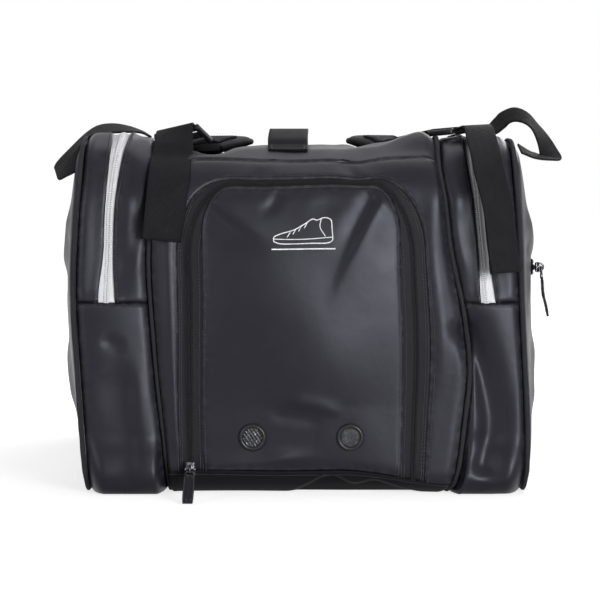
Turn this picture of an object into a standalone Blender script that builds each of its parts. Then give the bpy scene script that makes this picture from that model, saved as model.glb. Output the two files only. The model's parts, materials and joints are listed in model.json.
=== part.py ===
"""Racket tournament bag: a soft case with a middle compartment, a shoe compartment in its front
end, a racket pocket on each side, shoulder straps on top and a carry handle.

Metres, +Z up. X runs across the bag, the front end faces -Y, and the bag stands on z = 0.
"""
import math

import bmesh
import bpy
from mathutils import Matrix, Vector

# Middle compartment.
MAIN_HALF_WIDTH = 0.1330
MAIN_HALF_LENGTH = 0.2720
MAIN_TOP = 0.3030
MAIN_BASE_RADIUS = 0.034
MAIN_TOP_RADIUS = 0.046
FRONT_CROWN = 0.008
TOP_CROWN = 0.006
SEAM_LOW = 0.022
SEAM_HIGH = 0.300

# Racket pockets.
POCKET_INNER = 0.1380
POCKET_OUTER = 0.1994
POCKET_HALF_LENGTH = 0.2660
POCKET_TOP = 0.3200
POCKET_BASE_RADIUS = 0.040
POCKET_TOP_RADIUS = 0.062
GUSSET_CROWN = 0.003
SIDE_FACE = 0.2034
SIDE_INSET = 0.0058
SIDE_BULGE = 0.014
FOLD_HEIGHT = 0.1730
FOLD_X = 0.2180
POCKET_COIL = 0.1720
POCKET_TAPE = 0.0070
SHOULDER_DROP = 0.0060

# Cloth, piping and gaps.
CLOTH = 0.0030
TAPE = 0.0012
LINER = 0.0015
WEBBING = 0.0022
GAP = 0.0003
SEAM_GAP = 0.0009
PIPING_RADIUS = 0.0022
INNER_PIPING_X = 0.1355
OUTER_PIPING_X = 0.2020
PIPING_SINK = -0.0025
WALL_X = 0.1355
WALL_THICKNESS = 0.0026
WALL_INSET = 0.0054

# Shoe door in the front end, as an arch of half width, crest and corner sizes.
DOOR_HALF = 0.0980
DOOR_CREST = 0.2755
DOOR_CORNER = (0.042, 0.064)
DOOR_FOLD = 0.0375
DOOR_TAPE = 0.0083
DOOR_AXIS = (-0.2800, 0.0375)
VENT_X = (-0.0420, 0.0455)
VENT_HEIGHT = 0.0530
VENT_RADIUS = 0.0125
VENT_HOLE = 0.0088
LINER_BACK = -0.1250

# Lid in the top.
LID_HALF = 0.0770
LID_FRONT = -0.0900
LID_REAR = 0.1850
LID_CORNER = (0.042, 0.042)
LID_TAPE = 0.0070
LID_AXIS = (0.1850, 0.3100)

# Shoulder straps, their buckles and webbing, and the carry handle.
STRAP_HALF = 0.0225
STRAP_PAD = 0.0090
STRAP_LIFT = 0.0018
# The slack front of a strap as (y, distance from the middle, rise), and its straight rest.
STRAP_PATH = ((-0.1720, 0.0890, 0.0), (-0.1550, 0.0745, 0.004), (-0.1380, 0.0680, 0.006),
              (-0.1150, 0.0780, 0.003), (-0.0900, 0.0940, 0.0), (-0.0650, 0.1060, 0.0),
              (-0.0400, 0.1090, 0.0), (0.0900, 0.1090, 0.0), (0.2260, 0.1090, 0.0))
BUCKLE_SIZE = (0.0460, 0.0300, 0.0055)
TAIL_LIFT = 0.0045
TAIL_HALF = 0.0185
HANDLE_X = -0.0110
HANDLE_HALF = 0.0180
BOARD_HALF = (0.1240, 0.2220)
BOARD_Z = (0.0034, 0.0062)

# Zip sliders and pulls.
SLIDER_SIZE = (0.0095, 0.0130, 0.0042)
BAIL_RADIUS = 0.0034
BAIL_WIRE = 0.0009
RING_RADIUS = 0.0040
RING_WIRE = 0.0008
SHOE_SLIDER = (-0.2766, 0.0245)
SIDE_ZIP_Z = 0.2030
SIDE_ZIP_Y = (-0.2100, 0.1300)
SIDE_ZIP_HALF = 0.0070

BLACK = (0.012, 0.012, 0.014)


def smooth_bump(t):
    """0 at both ends of 0 to 1 and 1 in the middle."""
    if t <= 0.0 or t >= 1.0:
        return 0.0
    return math.sin(math.pi * t)


def spread(start, end, count):
    """Evenly spaced values from start to end."""
    return [start + (end - start) * i / (count - 1) for i in range(count)]


class Outline:
    """Rounded rectangle in the YZ plane, walked from the middle of its base to the front end,
    over the top and down the rear."""

    def __init__(self, half_length, top, base_radius, top_radius):
        self.half = half_length
        self.top = top
        self.rb = base_radius
        self.rt = top_radius
        base = half_length - base_radius
        side = top - base_radius - top_radius
        roof = 2 * (half_length - top_radius)
        low = base_radius * math.pi / 2
        high = top_radius * math.pi / 2
        self.lengths = [base, low, side, high, roof, high, side, low, base]
        self.marks = [0.0]
        for length in self.lengths:
            self.marks.append(self.marks[-1] + length)

    def at(self, s):
        """Point and outward normal, each as (y, z)."""
        part = 0
        while part < 8 and s > self.marks[part + 1]:
            part += 1
        d = s - self.marks[part]
        half, top, rb, rt = self.half, self.top, self.rb, self.rt
        if part == 0:
            return (-d, 0.0), (0.0, -1.0)
        if part == 1:
            return self.corner(-(half - rb), rb, rb, -math.pi / 2 - d / rb)
        if part == 2:
            return (-half, rb + d), (-1.0, 0.0)
        if part == 3:
            return self.corner(-(half - rt), top - rt, rt, math.pi - d / rt)
        if part == 4:
            return (-(half - rt) + d, top), (0.0, 1.0)
        if part == 5:
            return self.corner(half - rt, top - rt, rt, math.pi / 2 - d / rt)
        if part == 6:
            return (half, top - rt - d), (1.0, 0.0)
        if part == 7:
            return self.corner(half - rb, rb, rb, -d / rb)
        return (half - rb - d, 0.0), (0.0, -1.0)

    def corner(self, y, z, radius, angle):
        normal = (math.cos(angle), math.sin(angle))
        return (y + radius * normal[0], z + radius * normal[1]), normal

    def stops(self):
        """Walk lengths all the way round, with the corners divided and the straight runs halved."""
        marks = [0.0]
        for i in range(9):
            pieces = 6 if i in (1, 3, 5, 7) else 2
            marks += spread(self.marks[i], self.marks[i + 1], pieces + 1)[1:]
        return marks[:-1]

    def front(self, h):
        """Walk length at unrolled height h on the front end."""
        return self.marks[2] + h - self.rb

    def rear(self, h):
        """Walk length at unrolled height h on the rear end."""
        return self.marks[6] + (self.top - self.rt) - h

    def roof(self, y):
        """Walk length at place y on the flat top."""
        return self.marks[4] + y + self.half - self.rt

    def reach(self, z, inset):
        """Half length at height z of the outline drawn in by inset."""
        if z < self.rb:
            drop = (self.rb - inset) ** 2 - (self.rb - z) ** 2
            return self.half - self.rb + math.sqrt(max(0.0, drop))
        if z > self.top - self.rt:
            drop = (self.rt - inset) ** 2 - (z - self.top + self.rt) ** 2
            return self.half - self.rt + math.sqrt(max(0.0, drop))
        return self.half - inset


MAIN = Outline(MAIN_HALF_LENGTH, MAIN_TOP, MAIN_BASE_RADIUS, MAIN_TOP_RADIUS)
POCKET = Outline(POCKET_HALF_LENGTH, POCKET_TOP, POCKET_BASE_RADIUS, POCKET_TOP_RADIUS)


def main_crown(s, x):
    """How far the middle compartment's skin stands out beyond its outline."""
    across = 1.0 - (x / MAIN_HALF_WIDTH) ** 2
    front = smooth_bump((s - MAIN.front(0.0)) / (MAIN.front(0.31) - MAIN.front(0.0)))
    rear = smooth_bump((s - MAIN.rear(0.31)) / (MAIN.rear(0.0) - MAIN.rear(0.31)))
    roof = smooth_bump((s - MAIN.front(0.29)) / (MAIN.rear(0.29) - MAIN.front(0.29)))
    return across * (FRONT_CROWN * (front + rear) + TOP_CROWN * min(1.0, 2.0 * roof))


def main_point(s, x, lift=0.0):
    """A point of the middle compartment's skin, lifted outwards."""
    (y, z), (ny, nz) = MAIN.at(s)
    out = main_crown(s, x) + lift
    return Vector((x, y + ny * out, z + nz * out))


def shoulder(reach, z):
    """How far a pocket's outer shoulder slopes down below its outline."""
    t = (reach - POCKET_COIL) / (OUTER_PIPING_X - POCKET_COIL)
    w = (z - FOLD_HEIGHT) / (POCKET_TOP - FOLD_HEIGHT)
    return SHOULDER_DROP * min(1.0, max(0.0, t)) ** 1.4 * max(0.0, w) ** 2


def pocket_point(side, s, reach, lift=0.0):
    """A point of a racket pocket's gusset; side is -1 for left and 1 for right."""
    (y, z), (ny, nz) = POCKET.at(s)
    middle = (POCKET_INNER + POCKET_OUTER) / 2
    t = (reach - middle) / ((POCKET_OUTER - POCKET_INNER) / 2)
    crown = GUSSET_CROWN * max(0.0, 1.0 - t * t) * max(0.0, 1.0 + 1.5 * min(0.0, nz))
    out = crown + lift
    return Vector((side * reach, y + ny * out, z + nz * out - shoulder(reach, z)))


def side_point(side, y, z, lift=0.0):
    """A point of a racket pocket's outer panel."""
    a = max(0.0, 1.0 - (y / POCKET_HALF_LENGTH) ** 4)
    b = max(0.0, 1.0 - (2.0 * z / POCKET_TOP - 1.0) ** 4)
    return Vector((side * (SIDE_FACE + SIDE_BULGE * a * b + lift), y, z - shoulder(SIDE_FACE, z)))


def clear_scene():
    for obj in list(bpy.data.objects):
        bpy.data.objects.remove(obj, do_unlink=True)


def skin(name, colour, roughness, metallic=0.0):
    mat = bpy.data.materials.new(name)
    mat.use_nodes = True
    shader = mat.node_tree.nodes["Principled BSDF"]
    shader.inputs["Base Color"].default_value = (*colour, 1.0)
    shader.inputs["Roughness"].default_value = roughness
    shader.inputs["Metallic"].default_value = metallic
    return mat


def keep(obj, mat, collection):
    for owner in list(obj.users_collection):
        owner.objects.unlink(obj)
    collection.objects.link(obj)
    if mat is not None:
        obj.data.materials.clear()
        obj.data.materials.append(mat)
    return obj


def mesh_object(name, bm, mat, collection):
    mesh = bpy.data.meshes.new(name)
    bm.to_mesh(mesh)
    bm.free()
    return keep(bpy.data.objects.new(name, mesh), mat, collection)


def thicken(obj, thickness, offset):
    mod = obj.modifiers.new("Thickness", "SOLIDIFY")
    mod.thickness = thickness
    mod.offset = offset
    mod.use_even_offset = True
    return obj


def turn_out(bm):
    """Makes the faces of a closed body point outwards."""
    bmesh.ops.recalc_face_normals(bm, faces=bm.faces[:])
    if bm.calc_volume(signed=True) < 0.0:
        bmesh.ops.reverse_faces(bm, faces=bm.faces[:])


def sheet(name, us, vs, place, depth, mat, collection):
    """A grid bent by place(u, v, lift), extruded to a second face at lift depth."""
    bm = bmesh.new()
    bmesh.ops.create_grid(bm, x_segments=len(us) - 1, y_segments=len(vs) - 1, size=0.5)
    first = bm.verts[:]
    grown = bmesh.ops.extrude_face_region(bm, geom=bm.faces[:])["geom"]
    second = [item for item in grown if isinstance(item, bmesh.types.BMVert)]
    for verts, lift in ((first, 0.0), (second, depth)):
        for vert in verts:
            column = round((vert.co.x + 0.5) * (len(us) - 1))
            row = round((vert.co.y + 0.5) * (len(vs) - 1))
            vert.co = place(us[column], vs[row], lift)
    turn_out(bm)
    return mesh_object(name, bm, mat, collection)


def loft(name, loops, place, depth, mat, collection, cap=False):
    """Closed loops in (x, h) of equal count, joined in turn on two faces at lifts 0 and depth;
    the last loop is closed over when cap is set."""
    bm = bmesh.new()
    faces = [[[bm.verts.new(place(x, h, lift)) for x, h in loop] for loop in loops]
             for lift in (0.0, depth)]

    def join(low, high):
        for i in range(len(low)):
            j = (i + 1) % len(low)
            bm.faces.new((low[i], low[j], high[j], high[i]))

    for rings in faces:
        for low, high in zip(rings, rings[1:]):
            join(low, high)
        if cap:
            bm.faces.new(rings[-1])
    join(faces[0][0], faces[1][0])
    if not cap:
        join(faces[0][-1], faces[1][-1])
    turn_out(bm)
    return mesh_object(name, bm, mat, collection)


def sleeve(name, loops, thickness, mat, collection):
    """Closed loops of points joined in turn, the last one closed over, thickened inwards."""
    bm = bmesh.new()
    rings = [[bm.verts.new(point) for point in loop] for loop in loops]
    for low, high in zip(rings, rings[1:]):
        for i in range(len(low)):
            j = (i + 1) % len(low)
            bm.faces.new((low[i], low[j], high[j], high[i]))
    bm.faces.new(rings[-1])
    bmesh.ops.recalc_face_normals(bm, faces=bm.faces[:])
    obj = mesh_object(name, bm, mat, collection)
    return thicken(obj, thickness, -1.0)


def tube(name, points, radius, cyclic, mat, collection):
    curve = bpy.data.curves.new(name, "CURVE")
    curve.dimensions = "3D"
    curve.bevel_depth = radius
    curve.bevel_resolution = 1
    curve.use_fill_caps = True
    spline = curve.splines.new("POLY")
    spline.points.add(len(points) - 1)
    for spot, point in zip(spline.points, points):
        spot.co = (*point, 1.0)
    spline.use_cyclic_u = cyclic
    return keep(bpy.data.objects.new(name, curve), mat, collection)


def plate(name, outline, x, thickness, mat, collection):
    """A flat plate across X from an outline in (y, z)."""
    curve = bpy.data.curves.new(name, "CURVE")
    curve.dimensions = "2D"
    curve.fill_mode = "BOTH"
    curve.extrude = thickness / 2
    spline = curve.splines.new("POLY")
    spline.points.add(len(outline) - 1)
    for spot, (y, z) in zip(spline.points, outline):
        spot.co = (y, z, 0.0, 1.0)
    spline.use_cyclic_u = True
    obj = keep(bpy.data.objects.new(name, curve), mat, collection)
    obj.matrix_world = Matrix(((0, 0, 1, x), (1, 0, 0, 0), (0, 1, 0, 0), (0, 0, 0, 1)))
    return obj


def curve_through(stops, steps):
    """A smooth line through the stops, each a Vector, with the given steps between them."""
    points = []
    for i in range(len(stops) - 1):
        p0 = stops[max(0, i - 1)]
        p1 = stops[i]
        p2 = stops[i + 1]
        p3 = stops[min(len(stops) - 1, i + 2)]
        for k in range(steps):
            t = k / steps
            a = 2.0 * p1 + (p2 - p0) * t
            b = (2.0 * p0 - 5.0 * p1 + 4.0 * p2 - p3) * t * t
            c = (3.0 * p1 - p0 - 3.0 * p2 + p3) * t * t * t
            points.append((a + b + c) * 0.5)
    points.append(stops[-1].copy())
    return points


def ribbon(name, stops, halves, steps, thickness, mat, collection):
    """Webbing along the stops; halves gives half its width at each stop as a vector."""
    line = curve_through([Vector(stop) for stop in stops], steps)
    wide = curve_through([Vector(half) for half in halves], steps)
    bm = bmesh.new()
    bmesh.ops.create_grid(bm, x_segments=1, y_segments=len(line) - 1, size=0.5)
    for vert in bm.verts:
        row = round((vert.co.y + 0.5) * (len(line) - 1))
        vert.co = line[row] + wide[row] * (2.0 * round(vert.co.x + 0.5) - 1.0)
    return thicken(mesh_object(name, bm, mat, collection), thickness, 0.0)


def arch(half, foot, crest, corner, legs=4, bends=7, tops=4):
    """An arch in (x, h) from its left foot over the top to its right foot."""
    rx, rh = corner
    points = [(-half, h) for h in spread(foot, crest - rh, legs)]
    for angle in spread(math.pi, math.pi / 2, bends)[1:]:
        points.append((rx - half + rx * math.cos(angle), crest - rh + rh * math.sin(angle)))
    for x in spread(rx - half, half - rx, tops)[1:-1]:
        points.append((x, crest))
    mirrored = [(-x, h) for x, h in reversed(points[:legs + bends - 1])]
    return points + mirrored


def closed_arch(half, foot, crest, corner, feet=4):
    """The arch closed along its foot."""
    points = arch(half, foot, crest, corner)
    return points + [(x, foot) for x in spread(half, -half, feet)[1:-1]]


def box_loop(half, low, high, legs=4, bends=7, tops=4, feet=4):
    """A rectangle whose points pair with those of a closed arch."""
    turn = (bends - 1) // 2
    left = [(-half, h) for h in spread(low, high, legs + turn)]
    top = [(x, high) for x in spread(-half, half, tops + 2 * (bends - 1 - turn))[1:-1]]
    right = [(half, h) for h in spread(high, low, legs + turn)]
    base = [(x, low) for x in spread(half, -half, feet)[1:-1]]
    return left + top + right + base


def widened(half, foot, crest, corner, d):
    """Arguments of the same arch moved outwards by d."""
    return half + d, foot, crest + d, (corner[0] + d, corner[1] + d)


def between(inner, outer, rows, bias=1.0):
    """Loops from inner to outer in (x, h), closer together near the outer one with more bias."""
    loops = []
    for k in spread(0.0, 1.0, rows):
        t = 1.0 - (1.0 - k) ** bias
        loops.append([(a[0] + (b[0] - a[0]) * t, a[1] + (b[1] - a[1]) * t)
                      for a, b in zip(inner, outer)])
    return loops


def arch_tape(name, shape, d0, d1, place, mat, collection):
    """A zip tape along an arch between two distances from its line."""
    inner = arch(*widened(*shape, d0))
    outer = arch(*widened(*shape, d1))

    def spot(u, v, lift):
        a, b = inner[int(v)], outer[int(v)]
        x = a[0] + (b[0] - a[0]) * u
        h = a[1] + (b[1] - a[1]) * u
        return place(x, h, lift - GAP)

    return sheet(name, [0.0, 1.0], list(range(len(inner))), spot, -TAPE, mat, collection)


def front_place(x, h, lift=0.0):
    return main_point(MAIN.front(h), x, lift)


def lid_place(x, h, lift=0.0):
    """Places on the top, where h grows towards the front."""
    return main_point(MAIN.roof(-h), x, lift)


def pivot(name, place, parent=None, collection=None):
    empty = bpy.data.objects.new(name, None)
    empty.empty_display_size = 0.02
    collection.objects.link(empty)
    empty.matrix_world = Matrix.Translation(Vector(place))
    if parent is not None:
        bpy.context.view_layer.update()
        empty.parent = parent
        empty.matrix_parent_inverse = parent.matrix_world.inverted()
    bpy.context.view_layer.update()
    return empty


def carry(parent, *objects):
    bpy.context.view_layer.update()
    for obj in objects:
        obj.parent = parent
        obj.matrix_parent_inverse = parent.matrix_world.inverted()


def basis(origin, along, out):
    """A frame whose Y runs along, Z points out and X completes it."""
    along = Vector(along).normalized()
    out = Vector(out).normalized()
    side = along.cross(out).normalized()
    out = side.cross(along).normalized()
    rows = [[side[i], along[i], out[i], origin[i]] for i in range(3)]
    return Matrix(rows + [[0, 0, 0, 1]])


def block(name, size, mat, collection, bevel=0.0):
    bm = bmesh.new()
    bmesh.ops.create_cube(bm, size=1.0)
    bmesh.ops.scale(bm, vec=size, verts=bm.verts)
    obj = mesh_object(name, bm, mat, collection)
    if bevel:
        mod = obj.modifiers.new("Edge", "BEVEL")
        mod.width = bevel
        mod.segments = 1
        mod.limit_method = "ANGLE"
    return obj


def wire_ring(name, radius, wire, collection):
    bpy.ops.mesh.primitive_torus_add(major_radius=radius, minor_radius=wire,
                                     major_segments=14, minor_segments=6)
    obj = bpy.context.object
    obj.name = name
    keep(obj, None, collection)
    obj.hide_render = True
    obj.display_type = "WIRE"
    return obj


def combine(obj, other, operation):
    mod = obj.modifiers.new("Combine", "BOOLEAN")
    mod.operation = operation
    mod.solver = "EXACT"
    mod.object = other


def zip_slider(name, frame, hang, mat, parts, tools):
    """A slider body with a bail standing on its outer face, in the plane of the hanging pull."""
    body = block(name, SLIDER_SIZE, mat, parts, bevel=0.0010)
    body.matrix_world = frame @ Matrix.Translation((0, 0, SLIDER_SIZE[2] / 2))
    bail = wire_ring(name + "_bail", BAIL_RADIUS, BAIL_WIRE, tools)
    out = frame.col[2].to_3d()
    side = Vector(hang).cross(out).normalized()
    centre = frame @ Vector((0, 0, SLIDER_SIZE[2]))
    bail.matrix_world = basis(centre, out, side)
    combine(body, bail, "UNION")
    return body


def zip_pull(name, frame, length, width, thickness, mat, parts, tools):
    """A tab with a wire ring, the ring's top at the frame's origin and the tab along +Y."""
    tab = block(name, (width, length, thickness), mat, parts, bevel=0.0005)
    reach = 2 * RING_RADIUS + length / 2 - 0.0022
    tab.matrix_world = frame @ Matrix.Translation((0, reach, 0))
    ring = wire_ring(name + "_ring", RING_RADIUS, RING_WIRE, tools)
    ring.matrix_world = frame @ Matrix.Translation((0, RING_RADIUS - RING_WIRE / 2, 0))
    combine(tab, ring, "UNION")
    return tab


def bail_top(frame):
    """Where a pull's ring hangs inside a slider's bail."""
    return frame @ Vector((0, 0, SLIDER_SIZE[2] + BAIL_RADIUS - BAIL_WIRE - RING_WIRE - 0.0004))


def vent(name, x, mat, collection):
    """A turned eyelet with a closed mesh floor, set on the door."""
    profile = [(0.0, 0.0), (VENT_RADIUS, 0.0), (VENT_RADIUS, 0.0012), (VENT_RADIUS - 0.0012, 0.0026),
               (VENT_HOLE + 0.0006, 0.0026), (VENT_HOLE, 0.0012), (0.0, 0.0008)]
    bm = bmesh.new()
    verts = [bm.verts.new((r, 0.0, z)) for r, z in profile]
    for a, b in zip(verts, verts[1:]):
        bm.edges.new((a, b))
    obj = mesh_object(name, bm, mat, collection)
    mod = obj.modifiers.new("Turn", "SCREW")
    mod.steps = 24
    mod.render_steps = 24
    mod.use_merge_vertices = True
    mod.merge_threshold = 0.00005
    mod.use_normal_calculate = True
    centre = front_place(x, VENT_HEIGHT, 0.0)
    out = (front_place(x, VENT_HEIGHT, 0.01) - centre).normalized()
    up = front_place(x, VENT_HEIGHT + 0.002) - centre
    obj.matrix_world = basis(centre + out * 0.0008, up, out)
    return obj


def buckle(name, frame, mat, parts, tools):
    """A ladder-lock: a flat frame with two slots across it."""
    width, length, thickness = BUCKLE_SIZE
    obj = block(name, BUCKLE_SIZE, mat, parts, bevel=0.0012)
    obj.matrix_world = frame
    for i, y in enumerate((-0.0075, 0.0075)):
        slot = block(f"{name}_slot_{i}", (width - 0.0070, 0.0062, thickness * 3), None, tools)
        slot.matrix_world = frame @ Matrix.Translation((0, y, 0))
        slot.hide_render = True
        slot.display_type = "WIRE"
        combine(obj, slot, "DIFFERENCE")
    return obj


def build_main(mats, parts):
    cloth, base, black = mats["cloth"], mats["base"], mats["webbing"]
    across = spread(-MAIN_HALF_WIDTH, MAIN_HALF_WIDTH, 7)
    # The base panel turns up at both ends as far as the low seams.
    turn = spread(MAIN.marks[1], MAIN.front(SEAM_LOW - SEAM_GAP), 8)
    front_run = [s - MAIN.marks[1] for s in turn]
    ys = [("r", d) for d in reversed(front_run)] + [("f", d) for d in front_run]

    def base_spot(u, v, lift):
        end, d = ys[int(v)]
        if end == "f":
            return main_point(MAIN.marks[1] + d, u, lift)
        return main_point(MAIN.marks[8] - d, u, lift)

    sheet("base_panel", across, list(range(len(ys))), base_spot,
          -CLOTH, base, parts)
    board = block("base_board", (2 * BOARD_HALF[0], 2 * BOARD_HALF[1], BOARD_Z[1] - BOARD_Z[0]),
                  mats["board"], parts)
    board.matrix_world = Matrix.Translation((0, 0, (BOARD_Z[0] + BOARD_Z[1]) / 2))

    hole = closed_arch(*widened(DOOR_HALF, DOOR_FOLD, DOOR_CREST, DOOR_CORNER, DOOR_TAPE + SEAM_GAP))
    rim = box_loop(MAIN_HALF_WIDTH, SEAM_LOW + SEAM_GAP, SEAM_HIGH - SEAM_GAP)
    loft("front_panel", between(hole, rim, 4), front_place, -CLOTH, cloth, parts)

    rows = spread(MAIN.rear(SEAM_HIGH - SEAM_GAP), MAIN.rear(SEAM_LOW + SEAM_GAP), 14)
    sheet("rear_panel", across, rows, lambda u, v, lift: main_point(v, u, lift), -CLOTH, cloth,
          parts)

    hole = closed_arch(*widened(LID_HALF, -LID_REAR, -LID_FRONT, LID_CORNER, LID_TAPE + SEAM_GAP))
    ahead = MAIN.roof(0.0) - MAIN.front(SEAM_HIGH + SEAM_GAP)
    behind = MAIN.rear(SEAM_HIGH + SEAM_GAP) - MAIN.roof(0.0)
    rim = box_loop(MAIN_HALF_WIDTH, -behind, ahead)
    loft("top_panel", between(hole, rim, 8, 1.8), lid_place, -CLOTH, cloth, parts)

    for side, name in ((-1, "left"), (1, "right")):
        edge = []
        for s in POCKET.stops():
            (y, z), (ny, nz) = POCKET.at(s)
            edge.append((y - ny * WALL_INSET, z - nz * WALL_INSET))
        plate(f"{name}_wall", edge, side * WALL_X, WALL_THICKNESS, mats["lining"], parts)

    mouth = closed_arch(*widened(DOOR_HALF, DOOR_FOLD, DOOR_CREST, DOOR_CORNER, DOOR_TAPE + 0.004))
    front = [front_place(x, h, -CLOTH - 0.0012) for x, h in mouth]
    back = [Vector((p.x * 0.96, LINER_BACK, 0.036 + (p.z - 0.036) * 0.97)) for p in front]
    middle = [a.lerp(b, 0.5) for a, b in zip(front, back)]
    sleeve("shoe_liner", [front, middle, back], LINER, mats["lining"], parts)


def build_pocket(side, name, mats, parts):
    cloth = mats["cloth"]
    low = POCKET.front(FOLD_HEIGHT - GAP)
    runs = [spread(low, POCKET.marks[2], 3), spread(POCKET.marks[2], POCKET.marks[1], 5)[1:]]
    walk = [("f", s) for run in runs for s in run]
    walk += [("r", s) for _, s in reversed(walk)]

    def tub(u, v, lift):
        end, s = walk[int(v)]
        if end == "r":
            s = POCKET.marks[9] - s
        return pocket_point(side, s, u, lift)

    across = spread(POCKET_INNER, POCKET_OUTER, 3)
    sheet(f"{name}_pocket_base", across, list(range(len(walk))), tub, -CLOTH, cloth, parts)

    over = spread(POCKET.front(FOLD_HEIGHT + GAP), POCKET.marks[3], 3)
    over += spread(POCKET.marks[3], POCKET.marks[4], 6)[1:]
    over += spread(POCKET.marks[4], POCKET.marks[5], 4)[1:]
    over += spread(POCKET.marks[5], POCKET.marks[6], 6)[1:]
    over += spread(POCKET.marks[6], POCKET.rear(FOLD_HEIGHT + GAP), 3)[1:]

    def band(u, v, lift):
        return pocket_point(side, v, u, lift)

    def tape_band(u, v, lift):
        return pocket_point(side, v, u, lift - GAP)

    edge = POCKET_COIL - POCKET_TAPE
    sheet(f"{name}_pocket_gusset", spread(POCKET_INNER, edge - GAP, 3), over, band, -CLOTH, cloth, parts)
    sheet(f"{name}_zip_inner", [edge, POCKET_COIL - GAP], over, tape_band, -TAPE, mats["white"], parts)
    edge = POCKET_COIL + POCKET_TAPE
    gusset = sheet(f"{name}_flap_gusset", [edge + GAP, POCKET_OUTER], over, band, -CLOTH, cloth, parts)
    tape = sheet(f"{name}_zip_outer", [POCKET_COIL + GAP, edge], over, tape_band, -TAPE,
                 mats["white"], parts)

    def face(u, v, lift):
        return side_point(side, u * POCKET.reach(v, SIDE_INSET), v, lift)

    fractions = [-1.0, -0.93, -0.8, -0.6, -0.3, 0.0, 0.3, 0.6, 0.8, 0.93, 1.0]
    heights = [SIDE_INSET, 0.012, 0.022, 0.040, 0.08, 0.125, FOLD_HEIGHT - GAP]
    sheet(f"{name}_pocket_panel", fractions, heights, face, -CLOTH, cloth, parts)
    heights = [FOLD_HEIGHT + GAP, 0.215, 0.258, 0.282, 0.300, 0.310, POCKET_TOP - SIDE_INSET]
    panel = sheet(f"{name}_flap_panel", fractions, heights, face, -CLOTH, cloth, parts)

    def cord(x, s):
        (y, z), (ny, nz) = POCKET.at(s)
        z += nz * PIPING_SINK
        return (side * x, y + ny * PIPING_SINK, z - shoulder(x, z))

    tube(f"{name}_piping_inner", [cord(INNER_PIPING_X, s) for s in POCKET.stops()], PIPING_RADIUS,
         True, mats["piping"], parts)
    under = [s if end == "f" else POCKET.marks[9] - s for end, s in walk]
    tube(f"{name}_piping_lower", [cord(OUTER_PIPING_X, s) for s in under], PIPING_RADIUS, False,
         mats["piping"], parts)
    piping = tube(f"{name}_flap_piping", [cord(OUTER_PIPING_X, s) for s in over], PIPING_RADIUS,
                  False, mats["piping"], parts)
    return [gusset, tape, panel, piping]


def build_zips(mats, parts, tools):
    shape = (DOOR_HALF, DOOR_FOLD + GAP, DOOR_CREST, DOOR_CORNER)
    arch_tape("door_zip_outer", shape, GAP, DOOR_TAPE, front_place, mats["tape"], parts)
    inner = arch_tape("door_zip_inner", shape, -DOOR_TAPE, -GAP, front_place, mats["tape"], parts)
    edge = closed_arch(*widened(*shape, -DOOR_TAPE - SEAM_GAP))
    core = [(0.25 * x, 0.155 + 0.35 * (h - 0.155)) for x, h in edge]
    door = loft("shoe_door", between(edge, core, 4), front_place, -CLOTH, mats["cloth"], parts, cap=True)
    vents = [vent(f"vent_{side}", x, mats["gloss"], parts)
             for side, x in zip(("left", "right"), VENT_X)]
    hinge = pivot("shoe_door_pivot", (0.0, *DOOR_AXIS), collection=tools)
    carry(hinge, door, inner, *vents)

    shape = (LID_HALF, -LID_REAR + GAP, -LID_FRONT, LID_CORNER)
    arch_tape("lid_zip_outer", shape, GAP, LID_TAPE, lid_place, mats["tape"], parts)
    inner = arch_tape("lid_zip_inner", shape, -LID_TAPE, -GAP, lid_place, mats["tape"], parts)
    edge = closed_arch(*widened(*shape, -LID_TAPE - SEAM_GAP))
    core = [(0.25 * x, -0.05 + 0.4 * (h + 0.05)) for x, h in edge]
    lid = loft("top_lid", between(edge, core, 3), lid_place, -CLOTH, mats["cloth"], parts, cap=True)
    hinge = pivot("top_lid_pivot", (0.0, *LID_AXIS), collection=tools)
    carry(hinge, lid, inner)


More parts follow.
